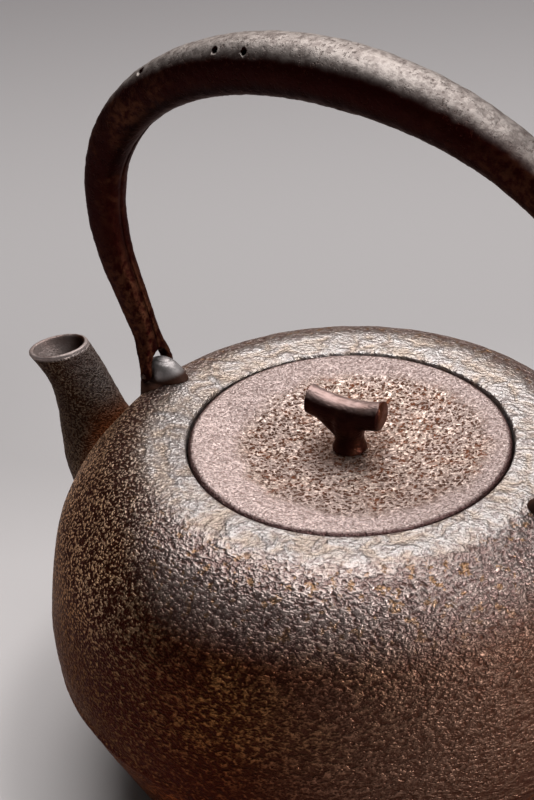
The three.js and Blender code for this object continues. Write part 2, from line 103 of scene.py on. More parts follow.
# Knob, millimetres, with the twig's turn in degrees
TWIG_TURN = 7
TWIG_OFFSET = 1.1
TWIG_HEIGHT = LID_CENTRE_TOP + 12.8
STEM_WAIST_RADIUS = 4.1
STEM_FOOT_RADIUS = 5.2
TANG_RADIUS = 2.4
TANG_GAP = 0.35
WASHER_RADIUS = 7
WASHER_THICKNESS = 1.4
RIVET_HEAD_RADIUS = 3.9
RIVET_HEAD_HEIGHT = 1.8
FITTING_GAP = 0.3
BRANCH_START = (-8.5, -1, TWIG_HEIGHT - 0.5)
BRANCH_END = (0.5, 0, LID_CENTRE_TOP + FITTING_GAP + 4.5)
BLEND_VOXEL, RELAX_SHARE, RELAX_ROUNDS = 0.32, 0.6, 30
TRIM_HALF_WIDTH, TRIM_DEPTH = 9, 6

# Spout: distance out, height and radius in millimetres, then its shape as shares of the way
# out, of the way up and from the lip's radius to the root's; the lip's slope is in degrees
SPOUT_ROOT = (BELLY_RADIUS - 16, BELLY_HEIGHT + 5, 20)
SPOUT_LIP = (BELLY_RADIUS + 19.2, RIM_HEIGHT - 4, 8.6)
SPOUT_SHAPE = [(0, 0, 1), (0.29, 0.15, 0.77), (0.51, 0.31, 0.505), (0.62, 0.47, 0.275),
               (0.7, 0.645, 0.115), (0.8, 0.815, 0.02), (0.93, 0.945, 0), (1.19, 1.14, 0.075)]
SPOUT_STEPS, SPOUT_LIP_STEP, SPOUT_NECK_STEP = 160, 142, 115
SPOUT_BORE_MAX = 9
SPOUT_LIP_SLOPE = 14
SEAT_GAP = 0.05

# Lugs and pins, millimetres, then shares of a lug's height, half length and half thickness
LUG_DISTANCE = (RIM_EDGE_RADIUS + BELLY_RADIUS) / 2 - 4.5
LUG_HALF_LENGTH = 8.7
LUG_HALF_THICKNESS = 6.8
LUG_HEIGHT = 7.3
LUG_LEAN = 1.2
LUG_SHAPE = [(-0.8, 1, 1.2), (-0.3, 1, 1.1), (0, 1, 0.94), (0.05, 0.99, 0.74), (0.1, 0.97, 0.64),
             (0.3, 0.89, 0.61), (0.5, 0.78, 0.57), (0.7, 0.63, 0.5), (0.85, 0.47, 0.4),
             (0.95, 0.28, 0.25), (1, 0, 0)]
LUG_SIDES = 80
PIN_GAP = 0.1
PIN_OUT = LUG_DISTANCE + 3.9
PIN_RISE = 3
PIN_RADIUS = 0.9

# Bail handle, millimetres, with the legs' bends as shares of their drop and of their reach
HANDLE_TOP = RIM_HEIGHT + 113.2
HANDLE_ARCH_HEIGHT = 59.4
HANDLE_SPAN_HEIGHT = HANDLE_TOP - HANDLE_ARCH_HEIGHT
HANDLE_HALF_SPAN = BELLY_RADIUS - 5.5
HANDLE_ARCH_POWER = 2.06
HANDLE_LEG_UPPER, HANDLE_LEG_OUT, HANDLE_LEG_LOWER = 0.396, 0.434, 0.479
HANDLE_TOP_RADIUS = 8.8
HANDLE_END_RADIUS = 3
HANDLE_TAPER_POWER = 1.35
SHEET_OUTER_POINTS, SHEET_INNER_POINTS, SHEET_LEAST = 44, 24, 0.35
FORK_SLOT_HALF_WIDTH = 4.6
FORK_SLOT_SIDE = 1
FORK_SLOT_TOP = 6.8
FORK_HALF_WIDTH = FORK_SLOT_HALF_WIDTH + 1.9
FORK_PRONG_HALF_WIDTH = 2
FORK_STRAIGHT = 1.6
FORK_END_MARGIN = 2.2
FORK_FLARE_START = 13.5
FORK_FLARE_END = 2

# Worm holes: share of the half span along the arch, then lean towards -Y in degrees
WORM_HOLES = [(-0.42, 44), (-0.308, 50), (-0.722, 35)]

# Cast skins: scale and depth of the grain and scale of the lumps, then the lumps' depth; the
# radii where a skin is smooth and where it is full; the foot below which there is no relief
BODY_SKIN = (420.0, 0.00008, 110.0)
SPOUT_SKIN, SPOUT_LUMPS = (620.0, 0.0001, 150.0), 0.0003
LUG_SKIN, LUG_LUMPS = (300.0, 0.00002, 140.0), 0.0003
HANDLE_SKIN = (380.0, 0.00014, 110.0)
LID_SKIN = (700.0, 0.00012, 120.0)
KNOB_SKIN, KNOB_LUMPS = (500.0, 0.00006, 150.0), 0.00025
BODY_CALM, LID_CALM = (0.0475, 0.055), (0.041, 0.034)
BODY_FOOT, FOOT_RISE = 0.001, 0.006

# Camera, from the photograph's frame of 534 by 800 pixels
FOCAL_PIXELS = 2222.7
LONG_SIDE_PIXELS = 800
SENSOR_MM = 36
CAMERA_PLACE = (0.29645, -0.43982, 0.46617)
CAMERA_RIGHT = (0.81664, 0.57607, -0.03518)
CAMERA_FORWARD = (-0.50040, 0.67637, -0.54049)

# Studio: the floor in millimetres, lamps as name, place and size in metres, and watts
SQUARE = ((-1, -1), (1, -1), (1, 1), (-1, 1))
FLOOR_HALF_SIDE = 3000
WORLD_COLOUR = (1.0, 0.97, 0.94, 1.0)
WORLD_STRENGTH, GLOW_STRENGTH = 0.045, 0.40
GLOW_DIRECTION, GLOW_EDGE = (-0.55, 0.76, 0.34), (0.80, 0.97)
LAMPS = [("main softbox", (-0.25, 0.35, 1.16), (1.1, 1.5), 23.0),
         ("right softbox", (1.10, 0.08, 0.50), (0.35, 0.35), 13.0)]
LAMP_TARGET = (0, 0, 0.09)


# Settings that a user would change

def length(label, millimetres, about):
    return FloatProperty(name=label, description=about, default=millimetres * MM, min=0.0,
                         subtype="DISTANCE", unit="LENGTH", precision=5)


def colour(label, red, green, blue, about):
    return FloatVectorProperty(name=label, description=about, default=(red, green, blue),
                               min=0.0, max=1.0, size=3, subtype="COLOR")


class KettleSizes(bpy.types.PropertyGroup):
    """Sizes of the kettle's details."""
    wall: length("Wall", 3.6, "Thickness of the body's casting")
    casting_seam: length("Casting seam", 0.8, "How far the mould seam stands proud below the belly")
    body_lumps: length("Body lumps", 0.45, "Height of the broad unevenness of the body")
    lid_lumps: length("Lid lumps", 0.3, "Height of the broad unevenness of the lid's dish")
    handle_lumps: length("Handle lumps", 0.6, "Height of the forging marks on the handle")
    pit_spacing: length("Pit spacing", 0.85, "Size of one pit of the cast skin")
    pit_depth: length("Pit depth", 0.4, "Depth of the pits of the cast skin")
    spout_wall: length("Spout wall", 2.0, "Thickness of the spout's wall")
    spout_lip: length("Spout lip", 0.8, "Height of the lip's rounding")
    sheet: length("Handle sheet", 2.0, "Thickness of the sheet that the handle is rolled from")
    rear_slimming: FloatProperty(
        name="Rear slimming", default=0.12, min=0.0, max=0.3,
        description="Share by which the handle is thinner towards its rear leg")
    handle_seam: length("Handle seam", 0.5, "Width of the open seam on the handle's inner side")
    worm_hole: length("Worm hole", 0.95, "Radius of the holes eaten through the handle")
    lid_reach: length("Lid reach", 0.3, "How far the lid's edge reaches past its plain outline")
    lid_edge: length("Lid edge", 1.1, "Rounding of the lid's outer edge")
    twig_length: length("Twig length", 22.4, "Length of the knob's twig")
    twig_radius: length("Twig radius", 4.3, "Radius of the knob's twig")
    twig_sag: length("Twig sag", 1.7, "How far the twig's middle lies under its ends")


class KettleColours(bpy.types.PropertyGroup):
    """Colours of the kettle's finishes and of the studio."""
    belly: colour("Belly", 0.050, 0.016, 0.007, "Red-brown iron of the lower front")
    olive: colour("Olive", 0.062, 0.038, 0.021, "Olive-brown iron of the belly towards the spout")
    left_belly: colour("Left belly", 0.20, 0.135, 0.092, "Tan grains on and beside the spout")
    right_belly: colour("Right belly", 0.100, 0.056, 0.040, "Greyer iron away from the spout")
    valley: colour("Valley", 0.026, 0.006, 0.003, "Dark ground between the grains")
    shoulder_valley: colour("Worn valley", 0.19, 0.13, 0.12, "Ground between the shoulder's grains")
    # The shoulder's grey is partly wear and partly painted sheen of the upward faces
    shoulder: colour("Shoulder", 0.33, 0.27, 0.25, "Worn grey iron of the shoulder")
    mouth: colour("Mouth", 0.41, 0.38, 0.37, "Smooth grey iron around the mouth")
    mouth_tan: colour("Mouth, tan", 0.38, 0.305, 0.25, "Tan patches around the mouth")
    ochre: colour("Ochre", 0.26, 0.135, 0.048, "Ochre flecks of the shoulder and the belly")
    # Also painted shade inside the mouth, along the seam, in the spout's bore and at the lugs' feet
    pit_and_shade: colour("Pit", 0.030, 0.010, 0.005, "Dark bottoms of the pits")
    rust: colour("Rust", 0.16, 0.045, 0.015, "Rust low on the belly, on the lid and on the spout")
    lid_rim: colour("Lid rim", 0.41, 0.32, 0.30, "Rubbed band around the lid")
    # Painted shade on the lid's rounded edge and in the gap around it
    lid_edge: colour("Lid edge", 0.050, 0.016, 0.016, "Dark outer edge of the lid")
    # Also painted shadow around the knob's foot
    lid_pit_and_shade: colour("Lid pit", 0.075, 0.026, 0.012, "Brown bottoms of the lid's pits")
    lid_centre: colour("Lid centre", 0.62, 0.48, 0.41, "Pitted middle of the lid")
    spout: colour("Spout", 0.030, 0.009, 0.003, "Dark iron of the spout")
    # On the spout this grey is a painted sheen
    spout_grey: colour("Spout grey", 0.15, 0.135, 0.13, "Rubbed grey of the spout and the lugs")
    spout_lip: colour("Spout lip", 0.30, 0.245, 0.23, "Smooth grey of the spout's lip and bore")
    lug: colour("Lug", 0.40, 0.365, 0.36, "Satin grey of the lugs")
    handle_dark: colour("Handle, dark", 0.014, 0.0015, 0.001, "Oxidised sides of the handle")
    handle_brown: colour("Handle, brown", 0.075, 0.028, 0.014, "Brown scale of handle and pins")
    # The handle's top colour is partly wear and partly painted sheen
    handle_wear_and_sheen: colour("Handle, worn", 0.33, 0.29, 0.268, "Worn top of the handle")
    # The twig's top colour is a painted highlight; its dark colour is partly painted shade
    knob: colour("Knob", 0.31, 0.215, 0.195, "Worn top of the twig")
    knob_dark: colour("Knob, dark", 0.022, 0.005, 0.004, "Sides and underside of the twig")
    cut_face: colour("Cut face", 0.075, 0.024, 0.013, "Brown of the twig's ends")
    floor: colour("Floor", 0.68, 0.64, 0.635, "Floor near the kettle")
    middle_floor: colour("Middle floor", 0.318, 0.300, 0.300, "Floor behind the kettle")
    far_floor: colour("Far floor", 0.175, 0.162, 0.163, "Floor far behind the kettle")


# Outlines

def catmull(points, count):
    """Points along a smooth curve through the given ones, evenly spaced in its parameter."""
    p = np.array(points, float)
    t = np.linspace(0, len(p) - 1, count + 1)
    i = np.minimum(t.astype(int), len(p) - 2)
    w = (t - i)[:, None]
    a, b = p[np.maximum(i - 1, 0)], p[i]
    c, d = p[i + 1], p[np.minimum(i + 2, len(p) - 1)]
    v0, v1 = (c - a) / 2, (d - b) / 2
    return (2 * b - 2 * c + v0 + v1) * w**3 + (3 * c - 3 * b - 2 * v0 - v1) * w**2 + v0 * w + b


def run_of(points):
    """Distance along a line at each of its points."""
    return np.concatenate([[0], np.cumsum(np.linalg.norm(np.diff(points, axis=0), axis=1))])


def even(points, spacing):
    """The same line with points about a spacing apart, its ends kept."""
    p = np.array(points, float)
    run = run_of(p)
    at = np.linspace(0, run[-1], max(int(round(run[-1] / spacing)), 1) + 1)
    return np.stack([np.interp(at, run, p[:, k]) for k in range(p.shape[1])], 1)


def smoothstep(x, low, high):
    t = np.clip((x - low) / (high - low), 0, 1)
    return t * t * (3 - 2 * t)


def body_outline(spacing=1.0):
    """The body's outer outline from the base edge up to the rim edge."""
    underside = [(BASE_RADIUS + (BELLY_RADIUS - BASE_RADIUS) * out, BELLY_HEIGHT * up)
                 for out, up in UNDERSIDE_SHAPE]
    shoulder = [(RIM_EDGE_RADIUS + (BELLY_RADIUS - RIM_EDGE_RADIUS) * out,
                 BELLY_HEIGHT + (RIM_HEIGHT - BELLY_HEIGHT) * up) for out, up in SHOULDER_SHAPE]
    points = [(BASE_RADIUS, 0), *underside, (BELLY_RADIUS, BELLY_HEIGHT), *shoulder,
              (RIM_EDGE_RADIUS, RIM_HEIGHT)]
    return even(catmull(points, 400), spacing)


def offset_line(line, distance):
    """A line moved to its right by a distance."""
    run = np.gradient(line, axis=0)
    run /= np.linalg.norm(run, axis=1)[:, None]
    return line + np.stack([run[:, 1], -run[:, 0]], 1) * distance


def shoulder_height(radius):
    """Height of the shoulder's surface at a distance from the axis."""
    line = body_outline()
    upper = line[line[:, 1] >= BELLY_HEIGHT][::-1]
    return float(np.interp(radius, upper[:, 0], upper[:, 1]))


# Meshes

def mesh_object(name, points, faces, edges=()):
    """A new smooth object from points in millimetres."""
    mesh = bpy.data.meshes.new(name)
    mesh.from_pydata((np.array(points) * MM).tolist(), list(edges), faces)
    mesh.shade_smooth()
    obj = bpy.data.objects.new(name, mesh)
    bpy.context.scene.collection.objects.link(obj)
    return obj


def tidy_mesh(obj, distance=1e-6):
    """Merges doubles and turns the faces outwards."""
    bm = bmesh.new()
    bm.from_mesh(obj.data)
    bmesh.ops.remove_doubles(bm, verts=bm.verts, dist=distance)
    bmesh.ops.recalc_face_normals(bm, faces=bm.faces)
    bm.to_mesh(obj.data)
    bm.free()
    obj.data.shade_smooth()
    return obj


def ring_mesh(name, rings, ends="capped"):
    """A skin over rings of points, with its ends capped, joined or left as they are."""
    rings = np.array(rings, float)
    count, sides = rings.shape[:2]
    steps = count if ends == "joined" else count - 1
    faces = []
    for r in range(steps):
        a, b = r * sides, (r + 1) % count * sides
        faces += [(a + i, a + (i + 1) % sides, b + (i + 1) % sides, b + i) for i in range(sides)]
    if ends == "capped":
        faces.append(tuple(range(sides))[::-1])
        faces.append(tuple(range((count - 1) * sides, count * sides)))
    return tidy_mesh(mesh_object(name, rings.reshape(-1, 3), faces))


def bake(obj):
    """Turns an object and its modifiers into a plain mesh of its own."""
    graph = bpy.context.evaluated_depsgraph_get()
    mesh = bpy.data.meshes.new_from_object(obj.evaluated_get(graph))
    old = obj.data
    obj.modifiers.clear()
    obj.data = mesh
    bpy.data.meshes.remove(old)
    return obj


def combine(obj, other, operation="DIFFERENCE"):
    """Cuts or joins a solid with another, which is used up."""
    cut = obj.modifiers.new("cut", "BOOLEAN")
    cut.object = other
    cut.operation = operation
    cut.solver = "MANIFOLD"
    bake(obj)
    bpy.data.objects.remove(other)
    return obj


def bar(start, end, radius, sides=24):
    """A round bar between two points, in millimetres, as a cutter."""
    start, end = Vector(start), Vector(end)
    turn = (end - start).to_track_quat("Z", "Y").to_matrix()
    rings = [[centre + turn @ Vector((radius * math.cos(a), radius * math.sin(a), 0))
              for a in np.arange(sides) / sides * 2 * math.pi] for centre in (start, end)]
    return ring_mesh("bar", rings)


# Nodes

class Field:
    """A node socket's value, so that sums on it read as plain expressions."""

    def __init__(self, maker, socket):
        self.maker = maker
        self.socket = socket

    def math(self, operation, *values):
        return self.maker.add("ShaderNodeMath", {"operation": operation}, dict(enumerate(values)))

    def __add__(self, other):
        return self.math("ADD", self, other)

    __radd__ = __add__

    def __sub__(self, other):
        return self.math("SUBTRACT", self, other)

    def __rsub__(self, other):
        return self.math("SUBTRACT", other, self)

    def __mul__(self, other):
        return self.math("MULTIPLY", self, other)

    __rmul__ = __mul__

    def __truediv__(self, other):
        return self.math("DIVIDE", self, other)

    def floor(self):
        return self.math("FLOOR", self)

    def sine(self):
        return self.math("SINE", self)

    def cosine(self):
        return self.math("COSINE", self)

    def root(self):
        return self.math("SQRT", self)

    def step(self, low, high):
        """A smooth rise from 0 at low to 1 at high."""
        return self.maker.add("ShaderNodeMapRange", {"interpolation_type": "SMOOTHSTEP"},
                              {0: self, 1: low, 2: high, 3: 0.0, 4: 1.0})


class Maker:
    """Adds nodes to a tree."""

    def __init__(self, tree):
        self.tree = tree

    def add(self, kind, settings=None, sockets=None, output=0):
        """One output of a new node with these settings and these values or links of sockets."""
        node = self.tree.nodes.new(kind)
        for key, value in (settings or {}).items():
            setattr(node, key, value)
        for key, value in (sockets or {}).items():
            if isinstance(value, Field):
                self.tree.links.new(value.socket, node.inputs[key])
            else:
                node.inputs[key].default_value = value
        return Field(self, node.outputs[output])

    def noise(self, place, scale, detail=2.0, rough=0.5, distortion=0.0):
        return self.add("ShaderNodeTexNoise", None, {
            "Vector": place, "Scale": scale, "Detail": detail, "Roughness": rough,
            "Distortion": distortion})

    def stretch(self, place, factors):
        return self.add("ShaderNodeVectorMath", {"operation": "MULTIPLY"}, {0: place, 1: factors})

    def dots(self, place, spacing):
        """Distance from the middles of strewn round dots, in shares of their spacing."""
        wander = self.add("ShaderNodeTexNoise", None, {
            "Vector": place, "Scale": 0.7 / spacing, "Detail": 0.0}, 1)
        moved = self.add("ShaderNodeVectorMath", {"operation": "MULTIPLY_ADD"}, {
            0: wander, 1: (spacing * 1.5,) * 3, 2: place})
        return self.add("ShaderNodeTexVoronoi", None, {"Vector": moved, "Scale": 0.85 / spacing})

    def grain(self, place, spacing, dots=0.5):
        """The skin of a sand casting, pits low and ridges high, with a share of round grains."""
        squeezed = self.stretch(place, (1.0, 1.0, 1.35))
        waves = self.noise(squeezed, 1 / spacing, 1.0, 0.5, 0.25)
        return waves + (0.52 - self.dots(squeezed, spacing).step(0.1, 0.8)) * 0.45 * dots

    def mix(self, factor, a, b):
        """One colour into another."""
        tint = [value if isinstance(value, Field) else (*value, 1.0) for value in (a, b)]
        sockets = {0: factor, 6: tint[0], 7: tint[1]}
        return self.add("ShaderNodeMix", {"data_type": "RGBA"}, sockets, 2)

    def tone(self, colour_, gain):
        """A colour made darker or lighter."""
        if not isinstance(colour_, Field):
            colour_ = tuple(colour_)
        return self.add("ShaderNodeVectorMath", {"operation": "SCALE"}, {0: colour_, "Scale": gain})

    def facing_up(self):
        """How far the surface faces up, from -1 to 1."""
        return self.split(self.add("ShaderNodeNewGeometry", None, None, 1))[2]

    def split(self, vector):
        node = self.add("ShaderNodeSeparateXYZ", None, {0: vector}).socket.node
        return [Field(self, out) for out in node.outputs]

    def radius(self, place):
        x, y, _ = self.split(place)
        return (x * x + y * y).root()


def new_tree(name, inputs):
    """A Geometry Nodes tree with its named inputs, its maker and its inputs' fields."""
    tree = bpy.data.node_groups.new(name, "GeometryNodeTree")
    tree.interface.new_socket("Geometry", in_out="INPUT", socket_type="NodeSocketGeometry")
    for label, (kind, value) in inputs.items():
        socket = tree.interface.new_socket(label, in_out="INPUT", socket_type=kind)
        if value is not None:
            socket.default_value = value
    tree.interface.new_socket("Geometry", in_out="OUTPUT", socket_type="NodeSocketGeometry")
    maker = Maker(tree)
    given = tree.nodes.new("NodeGroupInput")
    return tree, maker, {out.name: Field(maker, out) for out in given.outputs if out.name}


def end_tree(maker, geometry, finish):
    """Ends a tree with its instances made real and its material set."""
    real = maker.add("GeometryNodeRealizeInstances", None, {0: geometry})
    dressed = maker.add("GeometryNodeSetMaterial", None, {"Geometry": real, "Material": finish})
    result = maker.tree.nodes.new("NodeGroupOutput")
    maker.tree.links.new(dressed.socket, result.inputs[0])


def run_tree(obj, tree, values):
    """Runs a tree on an object with values for its named inputs, and keeps the plain mesh."""
    modifier = obj.modifiers.new(tree.name, "NODES")
    modifier.node_group = tree
    for item in tree.interface.items_tree:
        if item.in_out == "INPUT" and item.name in values:
            modifier[item.identifier] = values[item.name]
    return bake(obj)


def lathe_tree():
    """Turns an outline of radius along X and height along Z about the Z axis."""
    tree, maker, given = new_tree("lathe", {
        "Sides": ("NodeSocketInt", 48), "Finish": ("NodeSocketMaterial", None)})
    rows = maker.add("GeometryNodeAttributeDomainSize", {"component": "MESH"}, {
        0: given["Geometry"]})
    grid = maker.add("GeometryNodeMeshGrid", None, {
        "Size X": 1.0, "Size Y": 1.0, "Vertices X": given["Sides"] + 1, "Vertices Y": rows})
    index = maker.add("GeometryNodeInputIndex")
    column = ((index + 0.5) / rows).floor()
    row = index - column * rows
    at = maker.add("GeometryNodeSampleIndex", {"data_type": "FLOAT_VECTOR", "domain": "POINT"}, {
        "Geometry": given["Geometry"], "Index": row,
        "Value": maker.add("GeometryNodeInputPosition")})
    radius, _, height = maker.split(at)
    angle = column / given["Sides"] * (2 * math.pi)
    place = maker.add("ShaderNodeCombineXYZ", None, {
        0: radius * angle.cosine(), 1: radius * angle.sine(), 2: height})
    turned_grid = maker.add("GeometryNodeSetPosition", None, {"Geometry": grid, "Position": place})
    closed = maker.add("GeometryNodeMergeByDistance", None, {
        "Geometry": turned_grid, "Distance": 1e-6})
    end_tree(maker, closed, given["Finish"])
    return tree


def turned(name, profile, sides):
    """A profile of radius and height turned about Z, closed on itself if it starts off the axis."""
    line = [(x, 0, z) for x, z in profile]
    if line[0][0] > 0:
        line.append(line[0])
    obj = mesh_object(name, line, [], [(i, i + 1) for i in range(len(line) - 1)])
    tree = bpy.data.node_groups.get("lathe") or lathe_tree()
    return tidy_mesh(run_tree(obj, tree, {"Sides": sides}))


def skin_tree(calm):
    """Raises and sinks a surface as a cast skin, smooth at the first radius of calm."""
    tree, maker, given = new_tree("cast skin", {
        "Grain scale": ("NodeSocketFloat", 400.0), "Grain depth": ("NodeSocketFloat", 0.0001),
        "Lump scale": ("NodeSocketFloat", 120.0), "Lump depth": ("NodeSocketFloat", 0.0004),
        "Foot": ("NodeSocketFloat", -1.0), "Finish": ("NodeSocketMaterial", None)})
    place = maker.add("GeometryNodeInputPosition")
    normal = maker.add("GeometryNodeInputNormal")
    grain = maker.noise(place, given["Grain scale"], 1.5, 0.5, 0.5).step(0.36, 0.6) - 0.5
    lump = maker.noise(place, given["Lump scale"], 2.0) - 0.5
    height = grain * given["Grain depth"] + lump * given["Lump depth"]
    _, _, level = maker.split(place)
    height = height * level.step(given["Foot"], given["Foot"] + FOOT_RISE)
    if calm:
        height = height * maker.radius(place).step(*calm)
    offset = maker.add("ShaderNodeVectorMath", {"operation": "SCALE"}, {0: normal, "Scale": height})
    moved = maker.add("GeometryNodeSetPosition", None, {
        "Geometry": given["Geometry"], "Offset": offset})
    end_tree(maker, moved, given["Finish"])
    return tree


def cast_skin(obj, material_name, skin, lump_depth, calm=None, foot=-1.0):
    """Gives a mesh its cast skin and its material, with no relief below the foot's height."""
    grain_scale, grain_depth, lump_scale = skin
    obj.data.materials.clear()
    run_tree(obj, skin_tree(calm), {
        "Grain scale": grain_scale, "Grain depth": grain_depth, "Lump scale": lump_scale,
        "Lump depth": lump_depth, "Foot": foot, "Finish": material_named(material_name)})
    obj.data.shade_smooth()
    return obj


# Finishes

# Where they change, metres across, along, up, out from the axis or away from the camera
LEFT_ACROSS, LEFT_ALONG = (-0.005, -0.045), (0.03, -0.03)
RIM_LIGHT_ACROSS = (-0.060, -0.085)
OLIVE_ACROSS = (0.015, -0.030)
RIGHT_ACROSS = (0.015, 0.075)
MOUTH_OUT, MOUTH_UP = (0.0655, 0.0560), (0.1, 0.1075)
MOUTH_SHADE_OUT, MOUTH_SHADE_UP = (0.0475, 0.0465), (0.1096, 0.1088)
WEAR_AND_SHEEN_UP = (0.091, 0.110)
DARK_SHOULDER_ACROSS = (0.03, 0.075)
FRONT_SHEEN_UP, FRONT_SHEEN_ALONG = (0.099, 0.110), (0.0, -0.05)
BACK_SHADE_ALONG = (0.01, 0.05)
GRAINS_UP = (0.060, 0.095)
OCHRE_UP = (0.055, 0.080)
GLINTS_UP, GLINTS_ACROSS = (0.116, 0.100), (0.09, 0.0)
RUST_UP, UNDER_SEAM_UP = (0.050, 0.030), (0.0440, 0.0425)
SEAM_SHADOW_FROM, SEAM_SHADOW_TO = (0.0425, 0.0435), (0.0456, 0.0446)
LID_BAND_OUT, LID_EDGE_SHADE_OUT, KNOB_SHADOW_AND_PATINA_OUT = (0.0365, 0.0425), (0.0452, 0.0466), (0.017, 0.006)
SHEEN_SPOUT_UP, SHEEN_SPOUT_SIDE = (0.086, 0.100), (-0.003, 0.007)
LIT_SPOUT_SIDE = (-0.009, 0.006)
GRAINY_SPOUT_UP = (0.098, 0.078)
RUSTY_SPOUT_UP, RUSTY_SPOUT_ACROSS = (0.100, 0.086), (-0.094, -0.086)
BORE_DEPTH, BORE_SHADE_ACROSS, LIP_PLANE_UP = (-0.018, -0.012), (-0.006, 0.003), (0.1330, 0.1340)
LUG_FOOT_SHADE_UP, LUG_FOOT_SHADE_ACROSS = (0.1145, 0.1120), (-0.066, -0.070)
BROWN_HANDLE_FROM, BROWN_HANDLE_TO, BROWN_LEG_UP = (0.150, 0.185), (0.228, 0.200), (0.160, 0.135)
WEAR_AND_SHEEN_HANDLE_UP = (0.145, 0.205)
KNOB_TOP_UP, STEM_FOOT_UP = (0.1215, 0.1240), (0.1125, 0.1085)
FLOOR_SHADE_OUT, MIDDLE_AWAY, FAR_AWAY = (0.126, 0.103), (-0.05, 0.25), (0.30, 0.75)


def choices():
    """The user's sizes and colours."""
    return bpy.context.scene.kettle_sizes, bpy.context.scene.kettle_colours


def new_material(name):
    """A material with a bare shader, its maker, and the place on the object."""
    material = bpy.data.materials.new(name)
    material.use_nodes = True
    tree = material.node_tree
    tree.nodes.clear()
    maker = Maker(tree)
    shader = tree.nodes.new("ShaderNodeBsdfPrincipled")
    output = tree.nodes.new("ShaderNodeOutputMaterial")
    tree.links.new(shader.outputs[0], output.inputs["Surface"])
    place = maker.add("ShaderNodeTexCoord", None, None, 3)
    return material, maker, shader, place


def finish(maker, shader, skin, rough, metal, relief, depth, gloss=0.5, edge=(1.0, 1.0, 1.0)):
    """Gives a shader its colour, roughness, metal share and relief; edge tints slanting glances."""
    bump = maker.add("ShaderNodeBump", None, {"Strength": 1.0, "Distance": depth, "Height": relief})
    values = {"Base Color": skin, "Roughness": rough, "Metallic": metal, "Normal": bump}
    for key, value in values.items():
        if isinstance(value, Field):
            maker.tree.links.new(value.socket, shader.inputs[key])
        else:
            shader.inputs[key].default_value = value
    shader.inputs["Specular IOR Level"].default_value = gloss
    shader.inputs["Specular Tint"].default_value = (*edge, 1.0)


def body_iron():
    sizes, paint = choices()
    material, maker, shader, place = new_material("body iron")
    x, y, height = maker.split(place)
    radius = maker.radius(place)
    left = x.step(*LEFT_ACROSS) * y.step(*LEFT_ALONG)
    right = x.step(*RIGHT_ACROSS)
    loose = maker.grain(place, sizes.pit_spacing * 1.1, 0.4 + 0.6 * left)
    squeezed = maker.stretch(place, (1.0, 1.0, 1.7))
    rows = maker.noise(squeezed, 0.42 / sizes.pit_spacing, 1.0, 0.5, 0.6)
    grain = loose * (0.4 + 0.6 * left) + rows * (0.6 - 0.6 * left)
    hollow = grain.step(0.40, 0.32)
    fine = maker.noise(place, 1100.0, 2.0, 0.6)
    patches = maker.noise(place, 26.0, 3.0, 0.6)
    spread = patches.step(0.35, 0.65)
    golden = maker.noise(place, 300.0, 2.0, 0.6).step(0.56, 0.64)
    ripple = maker.noise(place, 150.0, 2.0, 0.5, 1.0)
    mouth = radius.step(*MOUTH_OUT) * height.step(*MOUTH_UP)
    # Upper body lighter: partly wear, partly painted sheen where the surface faces up
    wear_and_sheen = (height - 0.013 * left).step(*WEAR_AND_SHEEN_UP)
    belly = maker.mix(x.step(*OLIVE_ACROSS), paint.belly, paint.olive)
    belly = maker.mix(left * height.step(*GRAINS_UP), belly, paint.left_belly)
    belly = maker.mix(patches.step(0.42, 0.60) * height.step(*OCHRE_UP) * 0.2, belly, paint.ochre)
    belly = maker.mix(right, belly, paint.right_belly)
    belly = maker.mix(height.step(*RUST_UP) * spread, belly, paint.rust)
    belly = maker.mix(height.step(*UNDER_SEAM_UP) * 0.3, belly, paint.rust)
    # Painted shadow line under the casting seam
    belly = maker.mix(height.step(*SEAM_SHADOW_FROM) * height.step(*SEAM_SHADOW_TO) * 0.75, belly, paint.pit_and_shade)
    # Painted rim light: the belly is lighter at its far left
    belly = maker.tone(belly, 1.0 + 1.6 * x.step(*RIM_LIGHT_ACROSS))
    shoulder = maker.tone(paint.shoulder, 1.0 - 0.45 * x.step(*DARK_SHOULDER_ACROSS))
    skin = maker.mix(wear_and_sheen * (0.75 + 0.25 * spread), belly, shoulder)
    # Painted sheen on the front of the shoulder and painted shade on its back
    front_sheen = y.step(*FRONT_SHEEN_ALONG)
    skin = maker.tone(skin, 1.0 + 0.4 * front_sheen * height.step(*FRONT_SHEEN_UP)
                      - 0.15 * y.step(*BACK_SHADE_ALONG) + 0.4 * left * wear_and_sheen)
    smooth = maker.mix(ripple.step(0.30, 0.66), paint.mouth_tan, paint.mouth)
    skin = maker.mix(mouth * 0.9, skin, smooth)
    valley = maker.mix(right * 0.45, paint.valley, paint.right_belly)
    valley = maker.mix(wear_and_sheen * 0.85, valley, paint.shoulder_valley)
    skin = maker.mix((grain - 0.045 * left).step(0.41, 0.60) + mouth * 0.6, valley, skin)
    # Painted highlights on the tips of the belly's grains
    ridge_glints = 1.3 * (1.0 - wear_and_sheen) * height.step(*GLINTS_UP) * grain.step(0.50, 0.66)
    skin = maker.tone(skin, 1.0 + ridge_glints * x.step(*GLINTS_ACROSS))
    flecks = golden * wear_and_sheen * (1.0 - mouth) * grain.step(0.62, 0.50) * 0.6
    skin = maker.mix(flecks, skin, paint.ochre)
    skin = maker.mix(hollow * (0.75 - 0.55 * mouth), skin, paint.pit_and_shade)
    # Painted shade on the mouth's wall below the lid
    skin = maker.mix(radius.step(*MOUTH_SHADE_OUT) * height.step(*MOUTH_SHADE_UP), skin, paint.pit_and_shade)
    relief = (grain.step(0.25, 0.77) * (1.0 - 0.7 * mouth) + fine * (0.12 + 0.9 * mouth)
              + ripple * mouth * 3.0)
    finish(maker, shader, skin, 0.33 + 0.14 * hollow, 0.80 - 0.30 * hollow, relief,
           sizes.pit_depth * 1.25, 0.05, (0.55, 0.35, 0.25))
    return material


